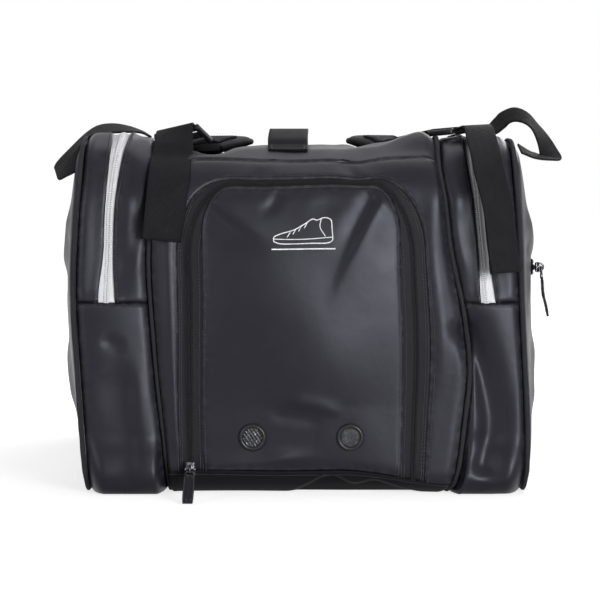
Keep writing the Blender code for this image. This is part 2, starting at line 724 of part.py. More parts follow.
def build_pulls(mats, parts, tools, flaps):
    metal, tab = mats["metal"], mats["tape"]

    def set_pull(name, frame, hang, face, size, parent=None):
        slider = zip_slider(f"{name}_slider", frame, hang, metal, parts, tools)
        slide = pivot(f"{name}_slider_pivot", frame.translation, parent, tools)
        top = bail_top(frame)
        pull = zip_pull(f"{name}_pull", basis(top, hang, face), *size, tab, parts, tools)
        swing = pivot(f"{name}_pull_pivot", top, slide, tools)
        carry(slide, slider)
        carry(swing, pull)

    frame = basis(Vector((-DOOR_HALF, SHOE_SLIDER[0], SHOE_SLIDER[1])), (0, 0, 1), (0, -1, 0))
    set_pull("shoe", frame, (0.0, -0.903, -0.430), (0.0, -0.430, 0.903), (0.048, 0.010, 0.0016))

    x = -LID_HALF
    spot = lid_place(x, -0.1960, 0.0008)
    frame = basis(spot, (0, -1, 0), (0, 0, 1))
    set_pull("lid", frame, (0.0, 0.995, 0.02), (0.0, 0.02, 0.995), (0.036, 0.008, 0.0014))

    for side, name in ((-1, "left"), (1, "right")):
        s = POCKET.rear(FOLD_HEIGHT + 0.0080)
        spot = pocket_point(side, s, POCKET_COIL, 0.0006)
        frame = basis(spot, (0, 0, 1), (0, 1, 0))
        set_pull(name, frame, (0.0, 0.10, -0.995), (0.0, 0.995, 0.10), (0.036, 0.008, 0.0014))

    def side_tape(u, v, lift):
        return side_point(1, u, v, lift + TAPE + 0.0004)

    ends = spread(*SIDE_ZIP_Y, 12)
    rows = [SIDE_ZIP_Z - SIDE_ZIP_HALF, SIDE_ZIP_Z, SIDE_ZIP_Z + SIDE_ZIP_HALF]
    tape = sheet("side_zip", ends, rows, side_tape, -TAPE, mats["tape"], parts)
    carry(flaps["right"], tape)
    y = SIDE_ZIP_Y[0] + 0.0090
    spot = side_point(1, y, SIDE_ZIP_Z, TAPE + 0.0032)
    along = Vector((SIDE_BULGE * 0.33, -y, 0.0))
    frame = basis(spot, along, (1, 0, 0))
    set_pull("side", frame, (0.06, 0.0, -0.998), (0.998, 0.0, 0.06), (0.040, 0.009, 0.0014),
             parent=flaps["right"])


def strap_stations(side):
    """Places (s, x, rise) along a shoulder strap, each with its direction across as (ds, dx)."""
    path = curve_through([Vector((MAIN.roof(y), side * x, rise)) for y, x, rise in STRAP_PATH], 2)
    path += [Vector((s, side * STRAP_PATH[-1][1], 0.0))
             for s in spread(MAIN.marks[5], MAIN.rear(SEAM_HIGH + 0.002), 7)[1:]]
    stations = []
    for i, spot in enumerate(path):
        ahead = path[min(i + 1, len(path) - 1)] - path[max(i - 1, 0)]
        length = math.hypot(ahead.x, ahead.y)
        stations.append((spot, (-ahead.y / length, ahead.x / length)))
    return stations


def strap_point(station, u, lift):
    """A point u across a strap from one of its stations."""
    spot, (ds, dx) = station
    return main_point(spot.x + ds * u, spot.y + dx * u, spot.z + lift)


def build_straps(mats, parts, tools):
    web = mats["webbing"]
    for side, name in ((-1, "left"), (1, "right")):
        stations = strap_stations(side)
        pad = sheet(f"{name}_shoulder_strap", spread(-STRAP_HALF, STRAP_HALF, 3), range(len(stations)),
                    lambda u, v, lift, at=stations: strap_point(at[v], u, lift + STRAP_LIFT), STRAP_PAD,
                    mats["pad"], parts)
        mod = pad.modifiers.new("Edge", "BEVEL")
        mod.width = 0.0025
        mod.segments = 2
        mod.limit_method = "ANGLE"
        mod.angle_limit = math.radians(60)

    frame = basis(Vector((-0.1068, -0.2045, 0.3212)), (0.42, 0.80, -0.43), (0.0, 0.473, 0.881))
    buckle("left_buckle", frame, mats["gloss"], parts, tools)
    frame = basis(Vector((0.1435, -0.2010, 0.3276)), (-0.70, 0.70, -0.06), (-0.10, 0.0, 0.99))
    buckle("right_buckle", frame, mats["gloss"], parts, tools)

    # The left webbing rises from its buckle, bends over the top edge and hangs down the front.
    half = (TAIL_HALF, 0.0, 0.0)
    stops = [(-0.1142, -0.2190, 0.3282), (-0.1140, -0.2265, 0.3232), (-0.1142, -0.2360, 0.3137),
             front_place(-0.1150, 0.3140, TAIL_LIFT), front_place(-0.1158, 0.3005, TAIL_LIFT)]
    halves = [(0.0166, -0.0066, 0.0036), (0.0170, -0.0040, 0.0010), (0.0176, -0.0016, -0.0006), half, half]
    ribbon("left_strap_web", stops, halves, 2, WEBBING, web, parts)
    hang = ((-0.1160, 0.2985), (-0.1172, 0.280), (-0.1192, 0.255), (-0.1222, 0.225))
    stops = [front_place(x, h, TAIL_LIFT) for x, h in hang]
    tail = ribbon("left_strap_tail", stops, [half] * 4, 2, WEBBING, web, parts)
    hinge = pivot("left_tail_pivot", front_place(-0.1159, 0.2995, TAIL_LIFT + WEBBING / 2),
                  collection=tools)
    carry(hinge, tail)

    # The right webbing crosses the pocket at a slant and hangs with its outer edge turned back.
    half = (0.0136, 0.0116, 0.0020)
    stops = [(0.1560, -0.2140, 0.3302), (0.1590, -0.2215, 0.3316), (0.1618, -0.2320, 0.3310),
             (0.1640, -0.2480, 0.3220), (0.1664, -0.2628, 0.3065)]
    halves = [(0.0127, 0.0127, 0.0016), (0.0129, 0.0125, 0.0010), (0.0132, 0.0121, 0.0010), half, half]
    ribbon("right_strap_web", stops, halves, 2, WEBBING, web, parts)
    stops = [(0.1672, -0.2652, 0.3035), (0.1690, -0.2745, 0.2890), (0.1749, -0.2815, 0.2654),
             (0.1785, -0.2830, 0.2431), (0.1834, -0.2830, 0.2005)]
    tail = ribbon("right_strap_tail", stops, [half] * 5, 2, WEBBING, web, parts)
    hinge = pivot("right_tail_pivot", (0.1668, -0.2640, 0.3050), collection=tools)
    carry(hinge, tail)

    ys = [-0.2360, -0.2280, -0.2140, -0.1800, -0.1460, -0.1320, -0.1240]
    rises = [0.0018, 0.0025, 0.0120, 0.0185, 0.0120, 0.0025, 0.0018]
    stops = []
    for y, rise in zip(ys, rises):
        s = MAIN.roof(max(y, -MAIN.half + MAIN.rt))
        s -= max(0.0, -MAIN.half + MAIN.rt - y)
        stops.append(main_point(s, HANDLE_X, rise))
    ribbon("carry_handle", stops, [(HANDLE_HALF, 0.0, 0.0)] * len(stops), 2, WEBBING, web, parts)


def build_loop(side, name, mats, parts):
    """A webbing loop between the two pipings; the left one droops and the right one stands up."""
    start = (side * 0.1395, -0.1560, 0.3240)
    if side < 0:
        stops = [start, (-0.1600, -0.1690, 0.3300), (-0.1760, -0.1790, 0.3318), (-0.1895, -0.1890, 0.3300),
                 (-0.2030, -0.1990, 0.3265), (-0.2145, -0.2090, 0.3150), (-0.2215, -0.2180, 0.3005),
                 (-0.2245, -0.2250, 0.2915), (-0.2195, -0.2310, 0.2900), (-0.2130, -0.2350, 0.2930),
                 (-0.2085, -0.2370, 0.2970)]
        halves = [(0.0, 0.0125, 0.0), (0.0, 0.0122, 0.0020), (0.0, 0.0118, 0.0038),
                  (-0.0010, 0.0118, 0.0035), (-0.0015, 0.0120, 0.0025), (-0.0030, 0.0117, 0.0028),
                  (-0.0045, 0.0110, 0.0028), (-0.0028, 0.0115, 0.0036), (-0.0010, 0.0112, 0.0050),
                  (0.0, 0.0100, 0.0070), (0.0, 0.0085, 0.0090)]
    else:
        stops = [start, (0.1580, -0.1630, 0.3280), (0.1740, -0.1720, 0.3300), (0.1850, -0.1800, 0.3360),
                 (0.1910, -0.1850, 0.3405), (0.1995, -0.1930, 0.3425), (0.2080, -0.2010, 0.3395),
                 (0.2154, -0.2080, 0.3320), (0.2215, -0.2140, 0.3220), (0.2250, -0.2200, 0.3120),
                 (0.2255, -0.2260, 0.3050), (0.2200, -0.2310, 0.3035), (0.2140, -0.2350, 0.3035),
                 (0.2088, -0.2370, 0.3040)]
        halves = [(0.0, 0.0125, 0.0), (0.0, 0.0125, 0.0005), (-0.0010, 0.0122, 0.0022),
                  (-0.0028, 0.0110, 0.0045), (-0.0020, 0.0108, 0.0055), (0.0, 0.0108, 0.0060),
                  (0.0020, 0.0112, 0.0050), (0.0035, 0.0116, 0.0025), (0.0060, 0.0108, 0.0016),
                  (0.0085, 0.0088, 0.0005), (0.0100, 0.0020, -0.0018), (0.0060, -0.0100, -0.0035),
                  (0.0020, -0.0112, -0.0050), (0.0, -0.0092, -0.0080)]
    return ribbon(f"{name}_loop", stops, halves, 2, WEBBING, mats["webbing"], parts)


def main():
    clear_scene()
    parts = bpy.data.collections.new("racket_tournament_bag")
    tools = bpy.data.collections.new("cutters_and_pivots")
    bpy.context.scene.collection.children.link(parts)
    bpy.context.scene.collection.children.link(tools)
    mats = {
        "cloth": skin("coated_cloth", (0.040, 0.040, 0.050), 0.45),
        "base": skin("base_cloth", (0.022, 0.021, 0.025), 0.60),
        "lining": skin("lining_cloth", (0.030, 0.030, 0.034), 0.80),
        "board": skin("stiffener", (0.030, 0.030, 0.032), 0.60),
        "piping": skin("piping_cord", (0.030, 0.030, 0.036), 0.50),
        "white": skin("white_zip_tape", (0.600, 0.600, 0.610), 0.70),
        "tape": skin("black_zip_tape", (0.014, 0.014, 0.017), 0.70),
        "webbing": skin("woven_webbing", (0.016, 0.016, 0.020), 0.75),
        "pad": skin("strap_padding", (0.020, 0.020, 0.024), 0.85),
        "gloss": skin("moulded_plastic", BLACK, 0.25),
        "metal": skin("dark_metal", (0.060, 0.060, 0.065), 0.30, 1.0),
    }
    build_main(mats, parts)
    flaps = {}
    for side, name in ((-1, "left"), (1, "right")):
        pieces = build_pocket(side, name, mats, parts)
        pieces.append(build_loop(side, name, mats, parts))
        flaps[name] = pivot(f"{name}_flap_pivot", (side * FOLD_X, 0.0, FOLD_HEIGHT), collection=tools)
        carry(flaps[name], *pieces)
    build_zips(mats, parts, tools)
    build_pulls(mats, parts, tools, flaps)
    build_straps(mats, parts, tools)


main()
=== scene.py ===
"""Looks of the racket tournament bag: cloth, zips, piping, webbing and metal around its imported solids.

Metres, +Z up. X runs across the bag, the front end faces -Y, and the bag stands on z = 0.
Folds are lists of points in millimetres on the face that they lie in.
"""
import json
import math

import bmesh
import bpy
import numpy as np
from mathutils import Matrix, Vector


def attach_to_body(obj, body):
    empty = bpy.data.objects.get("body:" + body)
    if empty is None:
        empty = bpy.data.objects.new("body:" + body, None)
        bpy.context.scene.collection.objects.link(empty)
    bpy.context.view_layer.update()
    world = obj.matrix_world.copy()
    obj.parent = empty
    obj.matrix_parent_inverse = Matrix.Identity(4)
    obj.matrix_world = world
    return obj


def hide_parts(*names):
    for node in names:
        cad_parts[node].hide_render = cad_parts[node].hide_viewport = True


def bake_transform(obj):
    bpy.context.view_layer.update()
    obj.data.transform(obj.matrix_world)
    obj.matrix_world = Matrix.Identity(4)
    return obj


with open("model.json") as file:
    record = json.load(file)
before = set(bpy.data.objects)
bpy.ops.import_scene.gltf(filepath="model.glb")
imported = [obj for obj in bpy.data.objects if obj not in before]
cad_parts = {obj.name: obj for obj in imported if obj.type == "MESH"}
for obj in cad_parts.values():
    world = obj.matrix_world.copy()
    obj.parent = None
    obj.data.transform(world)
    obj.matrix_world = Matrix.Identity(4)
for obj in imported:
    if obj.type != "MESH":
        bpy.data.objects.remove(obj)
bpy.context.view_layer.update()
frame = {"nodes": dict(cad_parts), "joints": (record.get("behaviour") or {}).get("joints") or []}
MM = 0.001

# Middle compartment, as in the solids.
MAIN_HALF_WIDTH = 0.1330
MAIN_HALF_LENGTH = 0.2720
MAIN_TOP = 0.3030
MAIN_BASE_RADIUS = 0.034
MAIN_TOP_RADIUS = 0.046
FRONT_CROWN = 0.008
TOP_CROWN = 0.006
SEAM_LOW = 0.022
SEAM_HIGH = 0.300

# Racket pockets, as in the solids.
POCKET_INNER = 0.1380
POCKET_OUTER = 0.1994
POCKET_HALF_LENGTH = 0.2660
POCKET_TOP = 0.3200
POCKET_BASE_RADIUS = 0.040
POCKET_TOP_RADIUS = 0.062
GUSSET_CROWN = 0.003
SIDE_FACE = 0.2034
SIDE_INSET = 0.0024
SIDE_BULGE = 0.014
FOLD_HEIGHT = 0.1730
POCKET_COIL = 0.1720
SHOULDER_DROP = 0.0060
INNER_PIPING_X = 0.1355
OUTER_PIPING_X = 0.2020
WALL_X = 0.1355
# The walls reach into the piping, and turn in at their ends.
WALL_INSET = 0.0016
WALL_TURN = 0.0075
WALL_BOW = 0.0012

# Shoe door and lid, as arches of half width, foot, crest and corner sizes.
DOOR = (0.0980, SEAM_LOW, 0.2755, (0.042, 0.064))
DOOR_HOLE = (0.1085, SEAM_LOW, 0.2790, (0.046, 0.062))
DOOR_RIM = (0.0875, SEAM_LOW, 0.2730, (0.026, 0.044))
LID = (0.0770, -0.1850, 0.0900, (0.042, 0.042))
DOOR_ZIP = (0.0095, 0.0115)
LID_ZIP = (0.0080, 0.0080)
VENT_X = (-0.0420, 0.0455)
VENT_HEIGHT = 0.0530
VENT_RADIUS = 0.0125
VENT_HOLE = 0.0088
VENT_STEPS = 64
# Each eyelet's place across the door, and the pitch and half thickness of its gauze's wires.
VENTS = {"left": (VENT_X[0], 0.0027, 0.00050), "right": (VENT_X[1], 0.0016, 0.00026)}
LINER_BACK = -0.1250
LINER_FOOT = 0.0375
LINER_FLOOR = 0.036
LINER_CLOTH = 0.0012
# Half the length of the stitched rows across the two ends.
END_ROW = 0.128

# Cloth and trim.
CLOTH = 0.0024
TAPE = 0.0010
TAPE_SINK = 0.0017
WEBBING = 0.0022
PIPING_RADIUS = 0.0023
PIPING_SINK = 0.0012
TOOTH_PITCH = 0.0019
STITCH_PITCH = 0.0036
STITCH_INSET = 0.0030
SEAM_STITCH = 0.0035
# How deep, and over what distance, cloth rolls down at its sewn edges.
SEAM_ROLL = (0.0034, 0.0080)
GUSSET_ROLL = (0.0032, 0.0075)
ZIP_ROLL = (0.0013, 0.0045)
RIM_ROLL = (0.0014, 0.0060)
END_ROLL = (0.0009, 0.0035)
FOLD_ROLL = (0.0016, 0.0040)
BASE_ROLL = (0.0030, 0.0070)
PANEL_ROLL = (0.0034, 0.0085)
LIP_ROLL = (0.0010, 0.0040)
# Zip tapes: from the zip's middle to a tape's edge, how far tape lies under cloth, and tape widths.
COIL_GAP = 0.0004
TAPE_UNDER = 0.0020
WHITE_TAPE = 0.0100
SIDE_TAPE = 0.0072
# Half the width of white tape that shows, at its narrowest and widest, and how far cloth rises beside it.
ZIP_SHOW = (0.0040, 0.0074)
ZIP_LIP = 0.0010
THREAD_RADIUS = 0.00036
# How far from an edge the cloth is rubbed pale.
WEAR_REACH = 0.003
BAG_CENTRE = (0.0, 0.0, 0.15)

# Webbing, straps and buckles, as in the solids.
STRAP_HALF = 0.0225
STRAP_PAD = 0.0100
STRAP_LIFT = 0.0018
STRAP_PATH = ((-0.1720, 0.0890, 0.0), (-0.1550, 0.0745, 0.004), (-0.1380, 0.0680, 0.006),
              (-0.1150, 0.0780, 0.003), (-0.0900, 0.0940, 0.0), (-0.0650, 0.1060, 0.0),
              (-0.0400, 0.1090, 0.0), (0.0900, 0.1090, 0.0), (0.2260, 0.1090, 0.0))
TAIL_HALF = 0.0185
TAIL_LIFT = 0.0045
HANDLE_X = -0.0110
HANDLE_HALF = 0.0180
LOOP_WEBBING = 0.0018
RIBBON = 0.0016
BUCKLE_SIZE = (0.0460, 0.0300, 0.0055)
# Each buckle's middle, the way it runs towards its strap, and the way it faces.
BUCKLES = {
    "left": ((-0.1068, -0.2045, 0.3212), (0.42, 0.80, -0.43), (0.0, 0.473, 0.881)),
    "right": ((0.1435, -0.2010, 0.3276), (-0.70, 0.70, -0.06), (-0.10, 0.0, 0.99)),
}
SIDE_ZIP_Z = 0.2030
SIDE_ZIP_Y = (-0.2100, 0.1300)

# Zip sliders and their pulls.
SLIDER_HEIGHT = 0.0042
BAIL_RADIUS = 0.0034
BAIL_WIRE = 0.0009
RING_RADIUS = 0.0040
RING_WIRE = 0.0008
BAIL_PLAY = 0.0004
BAIL_TOP = SLIDER_HEIGHT + BAIL_RADIUS - BAIL_WIRE - RING_WIRE - BAIL_PLAY
JOINTS = {joint["name"]: joint for joint in frame["joints"]}
# How far the side panel lies below its slider, under the zip's tape.
SIDE_ZIP_DEPTH = 0.0033

# Which bodies a soft piece joins, and from where to where it bends between them.
BENDS = {
    "door": ("bag", "shoe_door", (0, -0.275, 0.024), (0, -0.275, 0.0415)),
    "lid": ("bag", "top_lid", (0, 0.197, 0.305), (0, 0.176, 0.305)),
    "left": ("bag", "left_flap", (-0.2, 0, 0.165), (-0.2, 0, 0.200)),
    "right": ("bag", "right_flap", (0.2, 0, 0.165), (0.2, 0, 0.200)),
    "left_tail": ("bag", "left_tail", (-0.1155, -0.257, 0.3030), (-0.1160, -0.257, 0.2930)),
    "right_tail": ("bag", "right_tail", (0.1655, -0.2590, 0.3115), (0.1680, -0.2690, 0.2985)),
    "left_loop": ("bag", "left_flap", (-0.150, -0.2, 0.32), (-0.200, -0.2, 0.32)),
    "right_loop": ("bag", "right_flap", (0.150, -0.2, 0.32), (0.200, -0.2, 0.32)),
}
SIDES = ((-1, "left"), (1, "right"))

# How far the slack front leans sideways, in millimetres, as (height, shift) up each seam at x.
SLUMP = (
    (-0.2160, ((0, 8), (40, 7), (100, 2), (170, 0), (330, 0))),
    (-0.2020, ((0, 9), (20, 8), (64, 5), (109, 2), (171, -1), (252, 2), (296, 6), (330, 5))),
    (-0.1720, ((0, 12), (20, 12), (64, 9), (109, 5), (174, -1), (216, 1), (260, 2), (305, 8), (330, 13))),
    (-0.1355, ((0, 18), (20, 17), (46, 15), (127, 6), (216, 0), (270, 3), (310, 8))),
    (-0.1070, ((0, 0), (330, 0))),
    (0.1070, ((0, 4), (150, 6), (330, 2))),
    (0.1355, ((0, -5), (20, 3), (64, 12), (109, 16), (171, 9), (216, 1), (260, -4), (294, -10), (330, -12))),
    (0.1720, ((0, -5), (64, 5), (109, 6), (174, -6), (225, -10), (270, -13), (305, -17), (330, -18))),
    (0.2020, ((0, 2), (55, 2), (127, 1), (189, -2), (260, -5), (310, -10), (330, -12))),
    (0.2160, ((0, 7), (40, 7), (100, 3), (170, 0), (330, 0))),
)

# Folds as (points, height, width on the left of the line, width on its right, fades at its ends).
FRONT_FOLDS = (
    (((139, 162), (156, 132), (168, 100), (173, 62), (161, 18)), -9.0, 16, 10, (0.12, 0.1)),
    (((137, 156), (146, 131), (153, 91), (157, 46), (160, 20)), 2.0, 8, 10, (0.15, 0.3)),
    (((150, 60), (158, 34), (170, 12)), -1.4, 9, 10, (0.4, 0.1)),
    (((-163, 312), (-170, 260), (-171, 216), (-173, 170)), -5.0, 18, 18, (0.12, 0.12)),
    (((155, 312), (159, 270), (162, 225), (166, 170)), -4.0, 16, 16, (0.12, 0.12)),
    (((-180, 143), (-168, 135), (-155, 131)), -2.0, 7, 6, (0.4, 0.4)),
    (((-178, 124), (-166, 114), (-160, 89), (-157, 46), (-154, 8)), -3.4, 12, 22, (0.3, 0.1)),
    (((-148, 134), (-145, 95), (-145, 40)), 1.6, 10, 10, (0.5, 0.5)),
    (((-186, 160), (-189, 110), (-184, 50)), 0.8, 12, 12, (0.3, 0.3)),
    (((-147, 292), (-155, 258), (-151, 220), (-147, 184)), 1.8, 7, 8, (0.3, 0.3)),
    (((-141, 272), (-148, 232), (-158, 190)), -1.8, 6, 6, (0.4, 0.3)),
    (((-156, 304), (-152, 276), (-145, 250)), -1.4, 6, 6, (0.4, 0.4)),
    (((148, 290), (143, 262), (146, 228), (152, 186)), 1.8, 8, 6, (0.3, 0.3)),
    (((141, 268), (147, 236), (153, 198)), -1.6, 6, 6, (0.4, 0.4)),
    (((-84, 266), (-64, 252), (-40, 236), (-8, 222)), 2.8, 16, 6, (0.15, 0.75)),
    (((-85, 256), (-66, 240), (-46, 222), (-24, 204)), -2.0, 7, 13, (0.15, 0.75)),
    (((82, 266), (68, 250), (52, 222), (38, 190), (30, 160)), 3.2, 16, 6, (0.12, 0.7)),
    (((66, 268), (54, 248), (42, 224), (32, 204)), -2.2, 6, 10, (0.12, 0.6)),
    (((-18, 270), (-24, 258), (-36, 246)), -1.6, 6, 5, (0.1, 0.6)),
    (((6, 262), (28, 257), (50, 264)), -1.2, 12, 12, (0.5, 0.4)),
    (((-14, 87), (12, 82), (42, 73)), 2.0, 8, 4, (0.3, 0.3)),
    (((-30, 74), (0, 70), (24, 66)), -1.2, 7, 5, (0.3, 0.3)),
    (((-88, 24), (-45, 29), (-5, 34), (26, 36)), 2.6, 8, 5, (0.1, 0.4)),
    (((-118, 260), (-117, 170), (-112, 80), (-108, 30)), 2.6, 6, 7, (0.2, 0.1)),
    (((-103, 245), (-103, 150), (-101, 30)), -2.6, 3, 3, (0.2, 0.1)),
    (((120, 280), (121, 220), (126, 140), (124, 80)), 2.4, 8, 8, (0.2, 0.3)),
    (((38, 297), (47, 284), (56, 278)), -2.2, 4, 5, (0.1, 0.3)),
    (((-20, 297), (-40, 288)), 1.2, 6, 6, (0.3, 0.3)),
)
SIDE_FOLDS = (
    (((-238, 262), (-190, 215), (-120, 190)), 3.2, 10, 8, (0.2, 0.5)),
    (((-246, 232), (-200, 190), (-150, 176)), -3.0, 9, 9, (0.2, 0.5)),
    (((-246, 70), (-190, 118), (-120, 140)), 3.4, 12, 8, (0.2, 0.5)),
    (((-236, 40), (-170, 72), (-90, 84)), -2.6, 12, 10, (0.2, 0.5)),
    (((240, 250), (180, 205), (100, 196)), -3.0, 10, 9, (0.2, 0.5)),
    (((244, 60), (176, 110), (96, 126)), 3.2, 11, 8, (0.2, 0.5)),
    (((226, 34), (150, 62), (60, 70)), -2.4, 12, 10, (0.2, 0.5)),
    (((-60, 304), (-40, 262), (-52, 226)), 2.2, 9, 9, (0.1, 0.5)),
    (((70, 306), (58, 258), (80, 226)), -2.2, 9, 9, (0.1, 0.5)),
    (((-10, 14), (4, 52), (-8, 100)), 2.4, 12, 12, (0.1, 0.5)),
)
REAR_FOLDS = (
    (((-118, 250), (-70, 205), (-20, 190)), 3.0, 10, 8, (0.2, 0.5)),
    (((116, 240), (64, 210), (10, 205)), -3.0, 9, 9, (0.2, 0.5)),
    (((-116, 60), (-60, 104), (10, 112)), -3.0, 11, 9, (0.2, 0.5)),
    (((118, 54), (70, 92), (20, 98)), 3.2, 10, 8, (0.2, 0.5)),
    (((-20, 36), (10, 70), (4, 120)), 2.4, 12, 12, (0.2, 0.5)),
    (((-168, 150), (-160, 96), (-172, 30)), -4.5, 9, 8, (0.2, 0.1)),
    (((166, 152), (174, 100), (164, 34)), -4.0, 8, 9, (0.2, 0.1)),
    (((-150, 290), (-154, 240), (-148, 190)), 2.6, 6, 6, (0.2, 0.2)),
    (((150, 286), (146, 236), (154, 192)), 2.4, 6, 6, (0.2, 0.2)),
)
# Folds of the top in (x, y).
TOP_FOLDS = (
    (((-70, -210), (-30, -160), (-34, -110)), -2.4, 12, 12, (0.2, 0.3)),
    (((80, -220), (46, -170), (48, -120)), 2.6, 12, 12, (0.2, 0.3)),
    (((-60, 40), (0, 70), (56, 52)), -2.0, 16, 16, (0.3, 0.3)),
    (((-50, 150), (10, 128), (60, 150)), 2.0, 16, 16, (0.3, 0.3)),
    (((-90, 230), (-20, 215), (80, 234)), -2.6, 10, 12, (0.2, 0.2)),
)
# Where the turned-up strip of the base ends and its shaded underside starts, at the front in (x, z).
STRIP_EDGE = ((-30, -2), (-8, 3), (6, 11), (17, 18), (27, 20), (46, 12), (65, 17), (82, 12), (102, 4),
              (122, -3))
STRIP_DEPTH = 0.013
# How far the top's front edge is pulled up or sags, in millimetres, as (x, rise).
CREST_RISE = ((-112, 0), (-100, 0), (-90, -4), (-80, -8), (-70, -4), (-60, 0), (-50, 1.5), (-30, 1.5), (0, 0),
              (20, 1), (40, 0.8), (50, 1.3), (60, 2.4), (70, 3.8), (80, 7), (86, 9.5), (95, 13), (108, 16.5),
              (120, 14.5), (130, 10), (136, 6))
DOOR_PLUMP = 0.008
EDGE_LIFT = 0.0055
TIP_RISE = 0.0050
BROW_RISE = {"left": 0.0085, "right": 0.0060}
FOOT_DROP = 0.0115
FULL_FORWARD = 0.0170
FULL_DOWN = 0.0060
FLOOR_GAP = 0.0004
RIPPLES = 14
RIPPLE_HEIGHT = 0.00042

# Where each face of the bag fades in, as smoothstep ranges.
FRONT_LEAN = (-0.06, -0.18)
FRONT_FACE = (-0.225, -0.255)
REAR_FACE = (0.225, 0.255)
FLANK_FACE = (0.1990, 0.2055)
ROOF_FACE = (0.285, 0.300)
ROOF_EDGE = (0.134, 0.122)


def smoothstep(start, end, t):
    """0 before start and 1 past end, with a smooth rise between; start may be the larger."""
    k = np.clip((t - start) / (end - start), 0.0, 1.0)
    return k * k * (3.0 - 2.0 * k)


def spline(t, stops):
    """Smooth values at t through the stops, each (place, value)."""
    at = np.array([stop[0] for stop in stops], float)
    value = np.array([stop[1] for stop in stops], float)
    slope = np.gradient(value, at)
    k = np.clip(np.searchsorted(at, t) - 1, 0, len(at) - 2)
    span = at[k + 1] - at[k]
    u = np.clip((t - at[k]) / span, 0.0, 1.0)
    rise = value[k] * (1 + 2 * u) * (1 - u) ** 2 + value[k + 1] * u * u * (3 - 2 * u)
    return rise + span * u * (1 - u) * (slope[k] * (1 - u) - slope[k + 1] * u)


def catmull(stops, steps):
    """A smooth line of points through the stops."""
    stops = np.array(stops, float)
    at = np.arange(len(stops))
    t = np.linspace(0, len(stops) - 1, (len(stops) - 1) * steps + 1)
    return np.stack([spline(t, list(zip(at, column))) for column in stops.T], -1)


def run_lengths(points):
    """How far along a line each of its points lies."""
    return np.concatenate([[0.0], np.cumsum(np.linalg.norm(np.diff(points, axis=0), axis=1))])


def spread_along(points, pitch):
    """Points evenly spaced along a line, about pitch apart."""
    points = np.asarray(points, float)
    run = run_lengths(points)
    at = np.linspace(0.0, run[-1], max(2, round(run[-1] / pitch)))
    return np.stack([np.interp(at, run, column) for column in points.T], -1)


def unit(v):
    """Vectors scaled to length 1."""
    return v / np.maximum(np.linalg.norm(v, axis=-1, keepdims=True), 1e-12)


def turns(count):
    """Angles evenly spaced round a circle."""
    return np.linspace(0, 2 * math.pi, count, endpoint=False)


def nearest(a, b, line):
    """Signed distance of (a, b) from a line in their plane, positive on its left, and the share along it."""
    line = np.asarray(line, float)
    start, step = line[:-1], np.diff(line, axis=0)
    length = np.linalg.norm(step, axis=1)
    before = np.concatenate([[0.0], np.cumsum(length)[:-1]])
    pa, pb = np.ravel(a)[:, None], np.ravel(b)[:, None]
    t = ((pa - start[:, 0]) * step[:, 0] + (pb - start[:, 1]) * step[:, 1]) / length ** 2
    t = np.clip(t, 0.0, 1.0)
    da = pa - start[:, 0] - t * step[:, 0]
    db = pb - start[:, 1] - t * step[:, 1]
    k = np.argmin(da * da + db * db, axis=1)
    rows = np.arange(len(k))
    da, db = da[rows, k], db[rows, k]
    side = np.where(step[k, 0] * db - step[k, 1] * da >= 0, 1.0, -1.0)
    share = (before[k] + t[rows, k] * length[k]) / length.sum()
    shape = np.shape(a)
    return (np.hypot(da, db) * side).reshape(shape), share.reshape(shape)


class Outline:
    """Rounded rectangle in the YZ plane, walked from the middle of its base to the front end,
    over the top and down the rear."""

    def __init__(self, half, top, rb, rt):
        self.half, self.top, self.rb, self.rt = half, top, rb, rt
        low, high = rb * math.pi / 2, rt * math.pi / 2
        side, roof = top - rb - rt, 2 * (half - rt)
        lengths = [half - rb, low, side, high, roof, high, side, low, half - rb]
        self.marks = np.concatenate([[0.0], np.cumsum(lengths)])
        self.radii = np.array([0, rb, 0, rt, 0, rt, 0, rb, 0], float)
        self.turns = np.radians([-90, -90, 180, 180, 90, 90, 0, 0, -90])
        self.anchors = np.array([
            (0, 0), (rb - half, rb), (-half, rb), (rt - half, top - rt), (rt - half, top),
            (half - rt, top - rt), (half, top - rt), (half - rb, rb), (half - rb, 0)])

    def at(self, s):
        """Place and outward normal at walk lengths s: y, z, ny, nz."""
        part = np.clip(np.searchsorted(self.marks, s, side="right") - 1, 0, 8)
        d = s - self.marks[part]
        radius = self.radii[part]
        bent = radius > 0
        angle = self.turns[part] - np.where(bent, d / np.maximum(radius, 1e-9), 0.0)
        ny, nz = np.cos(angle), np.sin(angle)
        run = np.where(bent, 0.0, d)
        y = self.anchors[part, 0] + radius * ny + run * nz
        z = self.anchors[part, 1] + radius * nz - run * ny
        return y, z, ny, nz

    def front(self, h):
        """Walk length at height h on the front end."""
        return self.marks[2] + h - self.rb

    def rear(self, h):
        """Walk length at height h on the rear end."""
        return self.marks[6] + (self.top - self.rt) - h

    def roof(self, y):
        """Walk length at place y on the top."""
        return self.marks[4] + y + self.half - self.rt

    def reach(self, z, inset):
        """Half length at height z of the outline drawn in by inset."""
        low = np.sqrt(np.maximum(0.0, (self.rb - inset) ** 2 - (self.rb - z) ** 2)) - self.rb
        high = np.sqrt(np.maximum(0.0, (self.rt - inset) ** 2 - (z - self.top + self.rt) ** 2)) - self.rt
        inner = np.where(z < self.rb, low, np.where(z > self.top - self.rt, high, -inset))
        return self.half + inner


MAIN = Outline(MAIN_HALF_LENGTH, MAIN_TOP, MAIN_BASE_RADIUS, MAIN_TOP_RADIUS)
POCKET = Outline(POCKET_HALF_LENGTH, POCKET_TOP, POCKET_BASE_RADIUS, POCKET_TOP_RADIUS)


def hump(t):
    """A smooth rise from 0 to 1 and back as t goes from 0 to 1."""
    return np.where((t > 0) & (t < 1), np.sin(np.pi * np.clip(t, 0, 1)), 0.0)


